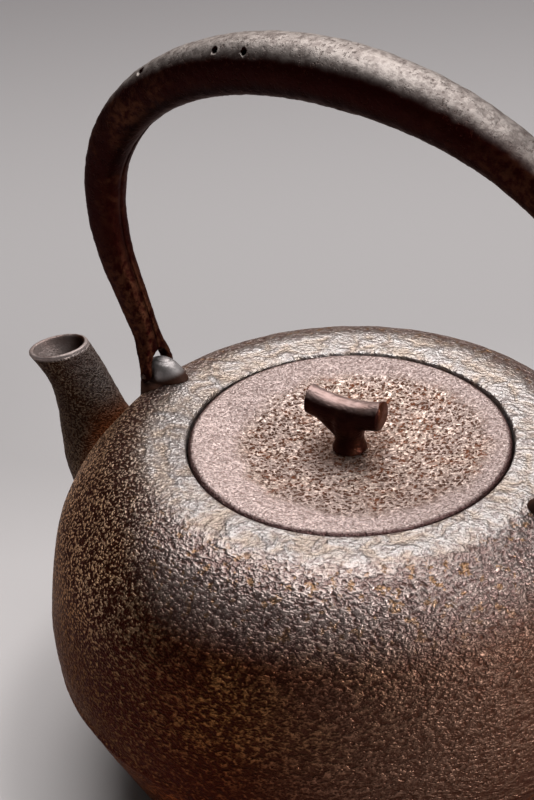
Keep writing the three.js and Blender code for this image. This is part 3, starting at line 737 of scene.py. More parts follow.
def lid_iron():
    sizes, paint = choices()
    material, maker, shader, place = new_material("lid iron")
    x, y, _ = maker.split(place)
    radius = maker.radius(place)
    waver = maker.noise(place, 90.0, 2.0)
    band = (radius + waver * 0.008 - x * 0.10 - y * 0.06).step(*LID_BAND_OUT)
    grain = maker.grain(place, sizes.pit_spacing * 0.8, 0.2)
    fine = maker.noise(place, 700.0, 3.0, 0.7)
    patches = maker.noise(place, 60.0, 3.0, 0.6)
    pits = maker.dots(place, sizes.pit_spacing * 1.3) + (0.6 - grain) * 0.9
    pits = pits.step(0.55, 0.46) * (1.0 - 0.92 * band)
    orange = maker.noise(place, 330.0, 3.0, 0.7).step(0.48, 0.60) * patches.step(0.65, 0.45)
    centre = maker.mix(patches.step(0.4, 0.6) * 0.5, paint.lid_centre, paint.lid_rim)
    centre = maker.mix(orange * 0.4, centre, paint.rust)
    skin = maker.mix(band, centre, paint.lid_rim)
    texture = fine * 0.5 + grain * 0.5
    skin = maker.mix(texture.step(0.54, 0.36) * 0.5, skin, paint.lid_pit_and_shade)
    # Painted highlights on the texture's high points
    skin = maker.tone(skin, 1.0 + 0.45 * texture.step(0.48, 0.64))
    # Painted highlight on the front of the band
    skin = maker.tone(skin, 1.0 + 0.35 * band * (x * 0.4 + y).step(0.0, -0.035))
    skin = maker.mix(pits * 0.95, skin, maker.mix(orange, paint.lid_pit_and_shade, paint.rust))
    # Painted shade on the lid's outer edge
    skin = maker.mix((radius + waver * 0.001).step(*LID_EDGE_SHADE_OUT) * 0.9, skin, paint.lid_edge)
    # Darker patina and painted shadow around the knob's foot
    skin = maker.mix(radius.step(*KNOB_SHADOW_AND_PATINA_OUT) * 0.6, skin, paint.lid_pit_and_shade)
    relief = grain.step(0.30, 0.60) * (0.7 - band * 0.3) + fine * (1.0 + 1.2 * band) - pits * 0.8
    finish(maker, shader, skin, 0.32 + 0.16 * pits, 0.7 - 0.4 * pits, relief,
           sizes.pit_depth * 0.9, 0.1, (0.8, 0.6, 0.5))
    return material


def spout_iron():
    sizes, paint = choices()
    material, maker, shader, place = new_material("spout iron")
    x, y, height = maker.split(place)
    grain = maker.grain(place, sizes.pit_spacing * 0.8)
    hollow = grain.step(0.46, 0.34)
    patches = maker.noise(place, 60.0, 4.0, 0.6)
    rings = spout_sections()
    lip_middle, neck = (
        Vector(rings[step].mean(0)) * MM for step in (SPOUT_LIP_STEP, SPOUT_NECK_STEP))
    axis = (lip_middle - neck).normalized()
    across = (x - lip_middle.x) * axis.z - (height - lip_middle.z) * axis.x
    depth = (x - lip_middle.x) * axis.x + (height - lip_middle.z) * axis.z
    lip_radius = np.linalg.norm(rings[SPOUT_LIP_STEP, 0] - rings[SPOUT_LIP_STEP].mean(0)) * MM
    out = (across * across + y * y).root()
    bore = out.step(lip_radius - 0.0005, lip_radius - 0.0009) * depth.step(*BORE_DEPTH)
    rim = (height - x * math.tan(SPOUT_LIP_SLOPE * RAD)).step(*LIP_PLANE_UP)
    lip = 1.0 - (1.0 - bore) * (1.0 - rim)
    inner = maker.mix((x - lip_middle.x).step(*BORE_SHADE_ACROSS), paint.spout_lip, paint.pit_and_shade)
    inner = maker.mix(bore, paint.spout_lip, inner)
    inner = maker.mix(patches.step(0.45, 0.65) * 0.45, inner, paint.cut_face)
    side = across * 0.8 + y * 0.6
    lit = 0.45 + 0.75 * side.step(*LIT_SPOUT_SIDE)
    # Painted sheen on the spout's upper side
    rub_and_sheen = height.step(*SHEEN_SPOUT_UP) * side.step(*SHEEN_SPOUT_SIDE)
    rub_and_sheen = rub_and_sheen * (0.5 + 0.5 * patches.step(0.35, 0.65))
    grains = grain.step(0.45, 0.65) * patches.step(0.35, 0.6) * 0.8
    skin = maker.mix(grains, paint.spout, paint.left_belly)
    skin = maker.tone(maker.mix(rub_and_sheen * 0.7, skin, paint.spout_grey), lit)
    grains = height.step(*GRAINY_SPOUT_UP) * patches.step(0.3, 0.6) * grain.step(0.4, 0.6) * 0.6
    skin = maker.mix(grains, skin, paint.left_belly)
    rusty = height.step(*RUSTY_SPOUT_UP) * x.step(*RUSTY_SPOUT_ACROSS) * 0.8
    skin = maker.mix(rusty, skin, paint.rust)
    skin = maker.mix(hollow * 0.6 * (1.0 - lip), skin, paint.pit_and_shade)
    skin = maker.mix(lip, skin, inner)
    relief = grain.step(0.28, 0.68) * (1.0 - 0.93 * lip)
    finish(maker, shader, skin, 0.38 + 0.15 * hollow, 0.5, relief, sizes.pit_depth * 1.2,
           0.1, (0.6, 0.45, 0.35))
    return material


def lug_iron():
    _, paint = choices()
    material, maker, shader, place = new_material("lug iron")
    x, _, height = maker.split(place)
    smear = maker.noise(place, 160.0, 4.0, 0.65)
    fine = maker.noise(place, 1100.0, 3.0, 0.6)
    grey = maker.mix(smear.step(0.35, 0.7) * 0.6, paint.lug, paint.spout_grey)
    # Rust and painted shade at the lug's foot, reaching higher on its outer side
    foot = height - (x + 0.066) * 0.38 - x.step(*LUG_FOOT_SHADE_ACROSS) * 0.003 + smear * 0.003
    foot = foot.step(*LUG_FOOT_SHADE_UP)
    dark = maker.mix(smear.step(0.4, 0.6), paint.pit_and_shade, paint.belly)
    skin = maker.mix(foot * 0.97, grey, dark)
    finish(maker, shader, skin, 0.32 + 0.16 * smear + 0.2 * foot, 0.7 - 0.4 * foot,
           fine * 0.6 + smear * 0.8, 0.00015, 0.1, (0.5, 0.45, 0.42))
    return material


def handle_iron():
    _, paint = choices()
    material, maker, shader, place = new_material("handle iron")
    x, _, height = maker.split(place)
    facing_up = maker.facing_up()
    patches = maker.noise(place, 75.0, 4.0, 0.62)
    pits = maker.noise(place, 800.0, 2.0, 0.6).step(0.42, 0.34) * patches.step(0.62, 0.42)
    scale = maker.noise(place, 420.0, 4.0, 0.65)
    brown = patches.step(0.42, 0.62) * height.step(*BROWN_HANDLE_FROM)
    brown = brown * height.step(*BROWN_HANDLE_TO) + height.step(*BROWN_LEG_UP)
    brown = brown * scale.step(0.38, 0.62) * 0.7
    dark = maker.mix(brown, paint.handle_dark, paint.handle_brown)
    # Painted shade: darker where the handle faces down
    dark = maker.tone(dark, 0.2 + 0.8 * facing_up.step(-0.6, 0.0))
    # Lighter where the handle faces up: partly wear, partly painted sheen
    top = (facing_up - 0.15 * x.step(0.0, 0.06)).step(0.35, 0.95) * height.step(*WEAR_AND_SHEEN_HANDLE_UP)
    skin = maker.mix(top * (0.55 + 0.45 * scale.step(0.38, 0.6)), dark, paint.handle_wear_and_sheen)
    skin = maker.mix(pits * 0.4, skin, paint.pit_and_shade)
    relief = scale * 0.8 - pits * 0.5
    finish(maker, shader, skin, 0.34 + 0.2 * scale, 0.5, relief, 0.0004, 0.05, (0.6, 0.4, 0.35))
    return material


def knob_iron():
    sizes, paint = choices()
    material, maker, shader, place = new_material("knob iron")
    stretched = maker.add("ShaderNodeMapping", None, {
        "Vector": place, "Rotation": (0.0, 0.0, -TWIG_TURN * RAD), "Scale": (0.25, 1.0, 1.0)})
    bark = maker.noise(stretched, 900.0, 3.0, 0.6)
    patches = maker.noise(place, 180.0, 3.0, 0.6)
    _, _, height = maker.split(place)
    x, _, _ = maker.split(stretched)
    face = sizes.twig_length / 2 - TWIG_OFFSET * MM
    cut_face = (x * 4.0).step(face - 0.00035, face - 0.0001)
    facing_up = maker.facing_up()
    # Painted highlight on the twig's upward faces; the dark sides and underside are partly painted
    # shade
    lit = facing_up.step(0.45, 1.0) * height.step(*KNOB_TOP_UP)
    brown = maker.mix(lit, paint.knob_dark, paint.knob)
    brown = maker.mix(patches.step(0.45, 0.65) * 0.3, brown, paint.handle_brown)
    rub_and_sheen = height.step(*STEM_FOOT_UP) * patches.step(0.35, 0.6) * 0.7
    brown = maker.mix(rub_and_sheen, brown, paint.cut_face)
    skin = maker.mix(cut_face, brown, paint.cut_face)
    finish(maker, shader, skin, 0.24 + 0.16 * bark, 0.6, bark, 0.00025, 0.1, (0.8, 0.6, 0.55))
    return material


def pin_iron():
    _, paint = choices()
    material, maker, shader, place = new_material("pin iron")
    scale = maker.noise(place, 600.0, 4.0, 0.65)
    skin = maker.mix(scale.step(0.35, 0.65), paint.handle_dark, paint.handle_brown)
    finish(maker, shader, skin, 0.4 + 0.25 * scale, 0.4, scale, 0.0002)
    return material


def floor_finish():
    _, paint = choices()
    material, maker, shader, place = new_material("studio floor")
    x, y, _ = maker.split(place)
    away = y * 0.80 - x * 0.60
    weave = maker.noise(place, 900.0, 2.0, 0.6)
    # Painted fall-off of light: the floor darkens away from the kettle, with a painted shadow ring
    # close around it
    skin = maker.tone(paint.floor, 1.0 - 0.25 * maker.radius(place).step(*FLOOR_SHADE_OUT))
    skin = maker.mix(away.step(*MIDDLE_AWAY), skin, paint.middle_floor)
    skin = maker.mix(away.step(*FAR_AWAY), skin, paint.far_floor)
    finish(maker, shader, skin, 0.9, 0.0, weave, 0.00002, 0.2)
    return material


MATERIALS = {
    "body iron": body_iron, "lid iron": lid_iron, "spout iron": spout_iron, "lug iron": lug_iron,
    "handle iron": handle_iron, "knob iron": knob_iron, "pin iron": pin_iron,
    "studio floor": floor_finish}


def material_named(name):
    return bpy.data.materials.get(name) or MATERIALS[name]()


def give_material(obj, name):
    """Puts one material on an object in the place of any other."""
    obj.data.materials.clear()
    obj.data.materials.append(material_named(name))


# Pieces

def finish_piece(obj, node, body):
    """Puts a finished object in a node's place, riding on a body."""
    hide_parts(node)
    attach(obj, body)
    return obj


def spout_sections(wall=0.0, largest=math.inf, steps=SPOUT_STEPS, sides=72, stop=1.0):
    """Rings square to the spout's centre line, shrunk by a wall or held to a largest radius."""
    table = np.array(SPOUT_SHAPE)
    points = np.array(SPOUT_ROOT) + (np.array(SPOUT_LIP) - np.array(SPOUT_ROOT)) * np.stack(
        [table[:, 0], table[:, 1], 1 - table[:, 2]], 1)
    line = catmull(points, 400)
    at = np.stack([np.interp(np.linspace(0, stop, steps + 1), np.linspace(0, 1, 401), line[:, k])
                   for k in range(3)], 1)
    centre = np.stack([FRONT * at[:, 0], 0 * at[:, 0], at[:, 1]], 1)
    run = np.gradient(centre, axis=0)
    run /= np.linalg.norm(run, axis=1)[:, None]
    side = np.array([0.0, 1.0, 0.0])
    across = np.cross(run, side)
    radius = np.minimum(at[:, 2] - wall, largest)[:, None, None]
    angle = np.arange(sides) / sides * 2 * math.pi
    turn = side * np.cos(angle)[None, :, None] + across[:, None] * np.sin(angle)[None, :, None]
    return centre[:, None] + turn * radius


def filled_body(gap):
    """A solid body without its hollow, larger by a gap, as a cutter."""
    line = offset_line(body_outline(1.5), gap)
    return turned("filled body", [(0, line[0, 1]), *line, (0, line[-1, 1])], 180)


def lip_trimmed(rings, count, drop):
    """The rings' lengthwise lines up to the lip's plane less a drop, and the plane's normal."""
    slope = SPOUT_LIP_SLOPE * RAD
    normal = np.array([FRONT * math.sin(slope), 0, math.cos(slope)])
    level = np.array([FRONT * SPOUT_LIP[0], 0, SPOUT_LIP[1]]) @ normal - drop
    over = rings @ normal - level
    lines = []
    for i in range(rings.shape[1]):
        last = int(np.argmax(over[:, i] > 0))
        share = -over[last - 1, i] / (over[last, i] - over[last - 1, i])
        end = rings[last - 1, i] + (rings[last, i] - rings[last - 1, i]) * share
        line = np.vstack([rings[:last, i], end])
        run = run_of(line)
        at = np.linspace(0, run[-1], count + 1)
        lines.append(np.stack([np.interp(at, run, line[:, k]) for k in range(3)], 1))
    return np.array(lines).swapaxes(0, 1), normal


def build_body(sizes):
    outline = body_outline(1.2)
    ledge = RIM_HEIGHT - LEDGE_DEPTH
    ledge_radius = MOUTH_RADIUS - LEDGE_WIDTH
    wall = sizes.wall / MM
    inside = [p for p in offset_line(body_outline(7.0), -wall)[::-1]
              if BASE_THICKNESS + wall * 0.5 < p[1] < ledge - LEDGE_THICKNESS]
    off = (outline[:, 1] - CASTING_SEAM_HEIGHT) / CASTING_SEAM_WIDTH * 1.6
    outline[:, 0] += sizes.casting_seam / MM * np.exp(-off * off)
    recess = BASE_RADIUS - FOOT_RING_WIDTH
    mouth_round = catmull([
        tuple(outline[-1]), (MOUTH_RADIUS + 1.1, RIM_HEIGHT - 0.04),
        (MOUTH_RADIUS + 0.25, RIM_HEIGHT - 0.35), (MOUTH_RADIUS, RIM_HEIGHT - 1)], 10)[1:]
    profile = [
        (0, 0.0), (GATE_SCAR_RADIUS, 0), (GATE_SCAR_RADIUS + BASE_RECESS, BASE_RECESS),
        (recess - BASE_RECESS, BASE_RECESS), (recess, 0), *outline, *mouth_round,
        (MOUTH_RADIUS, ledge + 0.4), (MOUTH_RADIUS - 0.4, ledge), (ledge_radius + 0.4, ledge),
        (ledge_radius, ledge - 0.4), (ledge_radius, ledge - LEDGE_THICKNESS),
        *inside, (BASE_RADIUS, BASE_THICKNESS), (0, BASE_THICKNESS)]
    body = turned("body_casting", profile, BODY_SIDES)
    bore = ring_mesh("bore", spout_sections(sizes.spout_wall / MM, SPOUT_BORE_MAX, 10, 48, 0.5))
    combine(body, bore)
    cast_skin(body, "body iron", BODY_SKIN, sizes.body_lumps, BODY_CALM, BODY_FOOT)
    finish_piece(body, "kettle_body", "kettle")


def build_spout(sizes):
    lip = sizes.spout_lip / MM
    outer, normal = lip_trimmed(spout_sections(), 90, lip)
    full = sizes.spout_wall / MM
    wall = np.interp(np.linspace(0, 1, SPOUT_STEPS + 1), (0, 0.7, 1), (full, full, lip * 1.6))
    inner, _ = lip_trimmed(spout_sections(wall, SPOUT_BORE_MAX), 30, lip)
    top = [(outer[-1] * (1 + math.cos(a)) + inner[-1] * (1 - math.cos(a))) / 2
           + normal * lip * math.sin(a) for a in np.linspace(0, math.pi, 8)[1:-1]]
    spout = ring_mesh("spout_casting", [*outer, *top, *inner[::-1]], "joined")
    combine(spout, filled_body(SEAT_GAP))
    cast_skin(spout, "spout iron", SPOUT_SKIN, SPOUT_LUMPS)
    finish_piece(spout, "spout", "kettle")


def pin_height():
    """Height of the handle pins' middle."""
    return shoulder_height(LUG_DISTANCE) + PIN_RISE


def pin_bore(end, half_length):
    """A cutter for a handle pin's hole."""
    front, back = ((end * PIN_OUT, side * half_length, pin_height()) for side in (-1, 1))
    return bar(front, back, PIN_RADIUS + PIN_GAP)


def build_lug(end, name):
    table = catmull([(rise, long_, thick) for rise, long_, thick in LUG_SHAPE[:-1]], 60)
    crown = []
    for k in np.linspace(1, 0, 8)[1:]:
        narrow = math.sqrt(1 - (1 - k * k) ** 2)
        crown.append((1 - 0.05 * k * k, table[-1, 1] * narrow, table[-1, 2] * narrow))
    angle = np.arange(LUG_SIDES) / LUG_SIDES * 2 * math.pi
    surface = shoulder_height(LUG_DISTANCE)
    rings = [np.stack([
        end * (LUG_DISTANCE + LUG_LEAN * max(rise, 0)) + LUG_HALF_LENGTH * long_ * np.cos(angle),
        LUG_HALF_THICKNESS * thick * np.sin(angle),
        np.full(LUG_SIDES, surface + LUG_HEIGHT * rise)], 1)
        for rise, long_, thick in [*table, *crown]]
    lug = ring_mesh(name, rings)
    combine(lug, filled_body(SEAT_GAP))
    combine(lug, pin_bore(end, FORK_HALF_WIDTH))
    return cast_skin(lug, "lug iron", LUG_SKIN, LUG_LUMPS)


def build_pin(end, name):
    half = FORK_HALF_WIDTH + 0.3
    profile = catmull([
        (0, -half), (PIN_RADIUS * 0.6, -half + 0.08), (PIN_RADIUS, -half + 0.4)], 8)
    pin = turned(name, np.vstack([profile, profile[::-1] * (1, -1)]), 32)
    pin.data.transform(Matrix.Translation((end * PIN_OUT * MM, 0, pin_height() * MM))
                       @ Matrix.Rotation(math.pi / 2, 4, "X"))
    give_material(pin, "pin iron")
    return pin


def handle_half_line():
    """One half of the bail's centre line from the top down to the prong's end."""
    angle = np.linspace(0, math.pi / 2, 90, endpoint=False)
    power = 2 / HANDLE_ARCH_POWER
    arch = np.stack([HANDLE_HALF_SPAN * np.sin(angle) ** power,
                     HANDLE_SPAN_HEIGHT + HANDLE_ARCH_HEIGHT * np.cos(angle) ** power], 1)
    pin = pin_height()
    drop = HANDLE_SPAN_HEIGHT - pin
    a, b, c, d = (np.array(p) for p in (
        (HANDLE_HALF_SPAN, HANDLE_SPAN_HEIGHT),
        (HANDLE_HALF_SPAN, HANDLE_SPAN_HEIGHT - drop * HANDLE_LEG_UPPER),
        (PIN_OUT + (HANDLE_HALF_SPAN - PIN_OUT) * HANDLE_LEG_OUT, pin + drop * HANDLE_LEG_LOWER),
        (PIN_OUT, pin + FORK_STRAIGHT)))
    t = np.linspace(0, 1, 40)[:, None]
    leg = a * (1 - t) ** 3 + 3 * b * t * (1 - t) ** 2 + 3 * c * t**2 * (1 - t) + d * t**3
    return np.vstack([arch, leg, [(PIN_OUT, pin - FORK_END_MARGIN)]])


def arch_point(share):
    """The point of the arch's centre line at a share of the half span."""
    rise = (1 - abs(share) ** HANDLE_ARCH_POWER) ** (1 / HANDLE_ARCH_POWER)
    return Vector((HANDLE_HALF_SPAN * share, 0, HANDLE_SPAN_HEIGHT + HANDLE_ARCH_HEIGHT * rise))


def sheet_curve(half_thick, half_wide, power, count, opening):
    """A rounded section as an open curve, from one side of the seam round to the other."""
    gap = math.asin(min(opening / 2 / half_wide, 1) ** (power / 2))
    angle = np.linspace(gap, 2 * math.pi - gap, count)
    c, s = np.cos(angle), np.sin(angle)
    return np.stack([half_thick * np.sign(c) * np.abs(c) ** (2 / power),
                     half_wide * np.sign(s) * np.abs(s) ** (2 / power)], 1)


def fork_slot(end):
    """A cutter for the arched gap between the prongs."""
    rise = FORK_SLOT_TOP - FORK_SLOT_SIDE
    arch = [(FORK_SLOT_HALF_WIDTH * math.cos(a), FORK_SLOT_SIDE + rise * math.sin(a))
            for a in np.linspace(0, math.pi, 25)]
    low = -3 * FORK_END_MARGIN
    outline = [(-FORK_SLOT_HALF_WIDTH, low), (FORK_SLOT_HALF_WIDTH, low), *arch]
    depth = HANDLE_TOP_RADIUS * 1.5
    return ring_mesh("slot", [[(end * PIN_OUT + x, y, pin_height() + z) for y, z in outline]
                              for x in (-depth, depth)])


def build_handle(sizes):
    half = even(handle_half_line(), 1.0)
    run = run_of(half)
    share, to_end = run / run[-1], run[-1] - run
    pin = pin_height()
    taper = share ** HANDLE_TAPER_POWER
    round_ = HANDLE_TOP_RADIUS - (HANDLE_TOP_RADIUS - HANDLE_END_RADIUS) * taper
    slim = 1 - sizes.rear_slimming * smoothstep(half[:, 0], 0, HANDLE_HALF_SPAN)
    flare_end = pin + FORK_FLARE_END - FORK_END_MARGIN
    fork = 1 - smoothstep(half[:, 1], flare_end, pin + FORK_FLARE_START)
    end_round = np.sqrt(1 - np.clip(1 - to_end / FORK_PRONG_HALF_WIDTH, 0, 0.97) ** 2)
    thick = (round_ * (1 - fork) + FORK_PRONG_HALF_WIDTH * fork) * end_round
    wide = round_ * (1 - fork) + FORK_HALF_WIDTH * fork
    power = (2.1 + 0.7 * share) * (1 - fork) + 5 * fork
    places = np.vstack([half[:0:-1] * (REAR, 1), half * (FRONT, 1)])
    thick, wide, power, slim = (np.concatenate([v[:0:-1], v]) for v in (thick, wide, power, slim))
    slim[len(half) - 1:] = 1
    along = np.gradient(places, axis=0)
    along /= np.linalg.norm(along, axis=1)[:, None]
    inward = np.stack([-along[:, 1], along[:, 0]], 1)
    inward *= -np.sign((inward * (places - (0, HANDLE_SPAN_HEIGHT - 20))).sum(1))[:, None]
    seam, sheet = sizes.handle_seam / MM, sizes.sheet / MM
    rings = []
    for place, t, w, p, inner in zip(places, thick * slim, wide, power, inward):
        lining = sheet_curve(max(t - sheet, SHEET_LEAST), w - sheet, p, SHEET_INNER_POINTS, seam)
        section = np.vstack([sheet_curve(t, w, p, SHEET_OUTER_POINTS, seam), lining[::-1]])
        rings.append([(place[0] + inner[0] * u, v, place[1] + inner[1] * u) for u, v in section])
    bail = ring_mesh("bail_handle", rings)
    for end in (FRONT, REAR):
        combine(bail, fork_slot(end))
        combine(bail, pin_bore(end, FORK_HALF_WIDTH + 1))
    for along_share, lean in WORM_HOLES:
        at, before, after = (arch_point(along_share + shift) for shift in (0, -0.01, 0.01))
        run_ = (after - before).normalized()
        out = Vector((-run_.z, 0, run_.x)) * math.cos(lean * RAD)
        out -= Vector((0, math.sin(lean * RAD), 0))
        combine(bail, bar(at + out * HANDLE_TOP_RADIUS * 0.4, at + out * HANDLE_TOP_RADIUS * 1.5,
                          sizes.worm_hole / MM, 16))
    cast_skin(bail, "handle iron", HANDLE_SKIN, sizes.handle_lumps)
    finish_piece(bail, "handle", "kettle")


def build_lid(sizes):
    seat = RIM_HEIGHT - LEDGE_DEPTH + LID_SEAT_GAP
    flange = MOUTH_RADIUS - LEDGE_WIDTH - LID_FLANGE_GAP
    flange_inner = flange - LID_FLANGE_WALL
    brim = LID_RADIUS + sizes.lid_reach / MM
    band = LID_RADIUS - LID_BAND_WIDTH
    edge = sizes.lid_edge / MM
    dish = even(catmull([
        (WASHER_RADIUS, LID_CENTRE_TOP), (band * 0.62, LID_CENTRE_TOP + LID_DISH_DEPTH * 0.22),
        (band * 0.86, LID_CENTRE_TOP + LID_DISH_DEPTH * 0.58),
        (band, LID_CENTRE_TOP + LID_DISH_DEPTH * 0.84),
        (brim - edge * 1.8, LID_TOP), (brim - edge * 0.4, LID_TOP - edge * 0.35),
        (brim, LID_TOP - edge)], 200), 0.5)[::-1]
    hole = TANG_RADIUS + TANG_GAP
    profile = [
        (hole, LID_CENTRE_UNDER), (WASHER_RADIUS + 1, LID_CENTRE_UNDER),
        (flange_inner * 0.72, LID_CENTRE_UNDER + LID_DISH_DEPTH * 0.2),
        (flange_inner, LID_CENTRE_UNDER + LID_DISH_DEPTH * 0.4),
        (flange_inner, seat - LID_FLANGE_DEPTH), (flange, seat - LID_FLANGE_DEPTH),
        (flange, seat), (brim - 0.4, seat), (brim, seat + 0.4),
        *dish, *even([(WASHER_RADIUS, LID_CENTRE_TOP), (hole, LID_CENTRE_TOP)], 0.6)[1:]]
    lid = turned("lid_plate", profile, LID_SIDES)
    cast_skin(lid, "lid iron", LID_SKIN, sizes.lid_lumps, LID_CALM)
    finish_piece(lid, "lid", "lid")


def build_knob(sizes):
    foot = LID_CENTRE_TOP + FITTING_GAP
    turn = TWIG_TURN * RAD
    along = np.array([math.cos(turn), math.sin(turn), 0])
    across = np.array([-math.sin(turn), math.cos(turn), 0])
    half, twig = sizes.twig_length / MM / 2, sizes.twig_radius / MM
    rings = []
    for share in np.linspace(-1.15, 1.15, 60):
        at = along * (share * half - TWIG_OFFSET)
        at = at + (0, 0, TWIG_HEIGHT + sizes.twig_sag / MM * (share * share - 0.5))
        radius = twig * (0.97 + 0.05 * share * share)
        rings.append([at + across * radius * math.cos(a) + np.array([0, 0, radius * math.sin(a)])
                      for a in np.arange(48) / 48 * 2 * math.pi])
    knob = ring_mesh("twig_knob", rings)
    stem = turned("stem", catmull([
        (0, foot), (STEM_FOOT_RADIUS * 0.6, foot), (STEM_FOOT_RADIUS * 1.02, foot),
        (STEM_FOOT_RADIUS * 0.94, foot + 1), (STEM_WAIST_RADIUS * 1.06, foot + 2.6),
        (STEM_WAIST_RADIUS, foot + 4.6), (STEM_WAIST_RADIUS * 1.25, TWIG_HEIGHT - twig),
        (STEM_WAIST_RADIUS * 1.1, TWIG_HEIGHT), (0, TWIG_HEIGHT)], 60), 48)
    combine(knob, stem, "UNION")
    branch = bar(BRANCH_START, BRANCH_END, STEM_WAIST_RADIUS * 0.9, 32)
    combine(knob, branch, "UNION")
    remesh = knob.modifiers.new("blend", "REMESH")
    remesh.mode = "VOXEL"
    remesh.voxel_size = BLEND_VOXEL * MM
    relax = knob.modifiers.new("relax", "SMOOTH")
    relax.factor = RELAX_SHARE
    relax.iterations = RELAX_ROUNDS
    bake(knob)
    for sign in (-1, 1):
        face = along * (sign * half - TWIG_OFFSET)
        block = [[face + along * sign * depth + across * TRIM_HALF_WIDTH * u
                  + np.array([0, 0, TWIG_HEIGHT + TRIM_HALF_WIDTH * v])
                  for u, v in SQUARE] for depth in (0, TRIM_DEPTH)]
        combine(knob, ring_mesh("trim", block))
    head = LID_CENTRE_UNDER - FITTING_GAP * 2 - WASHER_THICKNESS
    tang = turned("tang", [
        (0, head - RIVET_HEAD_HEIGHT), (RIVET_HEAD_RADIUS * 0.7, head - RIVET_HEAD_HEIGHT * 0.8),
        (RIVET_HEAD_RADIUS, head - RIVET_HEAD_HEIGHT * 0.25), (RIVET_HEAD_RADIUS, head),
        (TANG_RADIUS, head), (TANG_RADIUS, foot + 2), (0, foot + 2)], 48)
    combine(knob, tang, "UNION")
    cast_skin(knob, "knob iron", KNOB_SKIN, KNOB_LUMPS)
    finish_piece(knob, "knob", "knob")


# Stage

def build_floor():
    corners = [(FLOOR_HALF_SIDE * x, FLOOR_HALF_SIDE * y, 0) for x, y in SQUARE]
    floor = mesh_object("floor", corners, [(0, 1, 2, 3)])
    give_material(floor, "studio floor")


def build_world():
    """A dim surrounding with a soft glow above the floor's far edge."""
    world = bpy.data.worlds.new("studio")
    world.use_nodes = True
    background = world.node_tree.nodes["Background"]
    background.inputs["Color"].default_value = WORLD_COLOUR
    maker = Maker(world.node_tree)
    direction = maker.add("ShaderNodeTexCoord")
    towards_glow = maker.add("ShaderNodeVectorMath", {"operation": "DOT_PRODUCT"}, {
        0: direction, 1: GLOW_DIRECTION}, 1)
    strength = WORLD_STRENGTH + GLOW_STRENGTH * towards_glow.step(*GLOW_EDGE)
    world.node_tree.links.new(strength.socket, background.inputs["Strength"])
    bpy.context.scene.world = world


def build_lamps():
    for name, place, size, power in LAMPS:
        lamp = bpy.data.lights.new(name, "AREA")
        lamp.shape = "RECTANGLE"
        lamp.size, lamp.size_y = size
        lamp.energy = power
        light = bpy.data.objects.new(name, lamp)
        light.location = place
        towards = Vector(LAMP_TARGET) - Vector(place)
        light.rotation_euler = towards.to_track_quat("-Z", "Y").to_euler()
        bpy.context.scene.collection.objects.link(light)


def build_camera():
    camera = bpy.data.cameras.new("camera")
    camera.sensor_width = SENSOR_MM
    camera.lens = FOCAL_PIXELS / LONG_SIDE_PIXELS * SENSOR_MM
    viewer = bpy.data.objects.new("camera", camera)
    forward = Vector(CAMERA_FORWARD).normalized()
    right = Vector(CAMERA_RIGHT).normalized()
    turn = Matrix((right, right.cross(forward), -forward)).transposed()
    viewer.rotation_mode = "QUATERNION"
    viewer.rotation_quaternion = turn.to_quaternion()
    viewer.location = CAMERA_PLACE
    bpy.context.scene.collection.objects.link(viewer)
    bpy.context.scene.camera = viewer


def build_stage():
    build_floor()
    build_world()
    build_lamps()
    build_camera()
    bpy.context.scene.view_settings.view_transform = "Standard"


# Operators and panel

class KETTLE_OT_body(bpy.types.Operator):
    """Build the kettle's body as one pitted casting"""
    bl_idname = "kettle.body"
    bl_label = "Body"

    def execute(self, context):
        build_body(context.scene.kettle_sizes)
        return {"FINISHED"}


class KETTLE_OT_spout(bpy.types.Operator):
    """Build the spout on the body's left side"""
    bl_idname = "kettle.spout"
    bl_label = "Spout"

    def execute(self, context):
        build_spout(context.scene.kettle_sizes)
        return {"FINISHED"}


class KETTLE_OT_lugs(bpy.types.Operator):
    """Build the two lugs on the shoulder"""
    bl_idname = "kettle.lugs"
    bl_label = "Lugs"

    def execute(self, context):
        for end, label in ((FRONT, "front"), (REAR, "rear")):
            lug = build_lug(end, f"{label}_ear")
            finish_piece(lug, f"{label}_lug", "kettle")
        return {"FINISHED"}


class KETTLE_OT_pins(bpy.types.Operator):
    """Build the pins that hold the handle in the lugs"""
    bl_idname = "kettle.pins"
    bl_label = "Pins"

    def execute(self, context):
        for end, label in ((FRONT, "front"), (REAR, "rear")):
            pin = build_pin(end, f"{label}_pin")
            finish_piece(pin, f"{label}_handle_pin", "kettle")
        return {"FINISHED"}


class KETTLE_OT_handle(bpy.types.Operator):
    """Build the rolled and forked bail handle"""
    bl_idname = "kettle.handle"
    bl_label = "Handle"

    def execute(self, context):
        build_handle(context.scene.kettle_sizes)
        return {"FINISHED"}


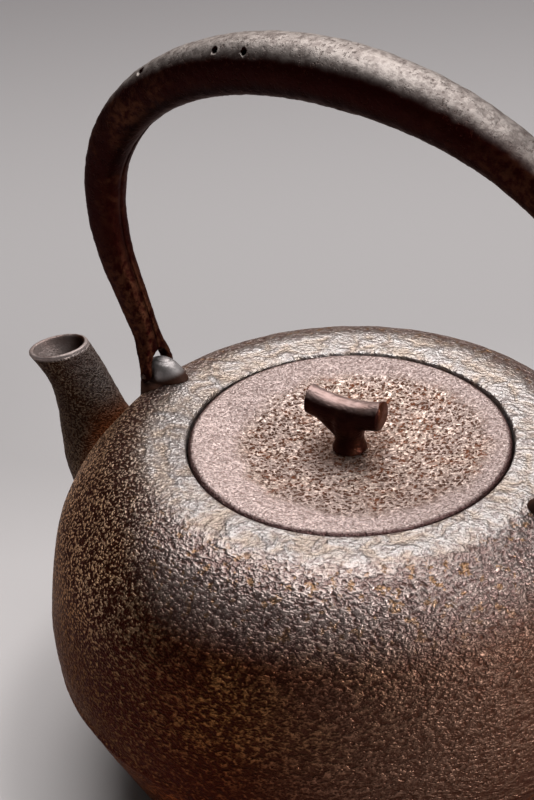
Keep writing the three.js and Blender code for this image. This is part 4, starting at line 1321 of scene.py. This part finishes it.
class KETTLE_OT_lid(bpy.types.Operator):
    """Build the dished lid"""
    bl_idname = "kettle.lid"
    bl_label = "Lid"

    def execute(self, context):
        build_lid(context.scene.kettle_sizes)
        return {"FINISHED"}


class KETTLE_OT_knob(bpy.types.Operator):
    """Build the twig knob and dress its washer"""
    bl_idname = "kettle.knob"
    bl_label = "Knob"

    def execute(self, context):
        build_knob(context.scene.kettle_sizes)
        give_material(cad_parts["knob_washer"], "pin iron")
        return {"FINISHED"}


class KETTLE_OT_stage(bpy.types.Operator):
    """Set the floor, the lamps and the camera"""
    bl_idname = "kettle.stage"
    bl_label = "Stage"

    def execute(self, context):
        build_stage()
        return {"FINISHED"}


STEPS = (KETTLE_OT_body, KETTLE_OT_spout, KETTLE_OT_lugs, KETTLE_OT_pins, KETTLE_OT_handle,
         KETTLE_OT_lid, KETTLE_OT_knob, KETTLE_OT_stage)


class KETTLE_PT_panel(bpy.types.Panel):
    """Lists the kettle's operators, sizes and colours"""
    bl_idname = "KETTLE_PT_panel"
    bl_label = "Kettle"
    bl_space_type = "VIEW_3D"
    bl_region_type = "UI"
    bl_category = "Kettle"

    def draw(self, context):
        for step in STEPS:
            self.layout.operator(step.bl_idname)
        for group in (context.scene.kettle_sizes, context.scene.kettle_colours):
            for name in group.__annotations__:
                self.layout.prop(group, name)


CLASSES = (KettleSizes, KettleColours, *STEPS, KETTLE_PT_panel)


def register():
    for cls in CLASSES:
        bpy.utils.register_class(cls)
    bpy.types.Scene.kettle_sizes = PointerProperty(type=KettleSizes)
    bpy.types.Scene.kettle_colours = PointerProperty(type=KettleColours)


def unregister():
    del bpy.types.Scene.kettle_colours
    del bpy.types.Scene.kettle_sizes
    for cls in reversed(CLASSES):
        bpy.utils.unregister_class(cls)


def main():
    register()
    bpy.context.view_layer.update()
    bpy.ops.kettle.body()
    bpy.ops.kettle.spout()
    bpy.ops.kettle.lugs()
    bpy.ops.kettle.pins()
    bpy.ops.kettle.handle()
    bpy.ops.kettle.lid()
    bpy.ops.kettle.knob()
    bpy.ops.kettle.stage()


if __name__ == "__main__":
    main()
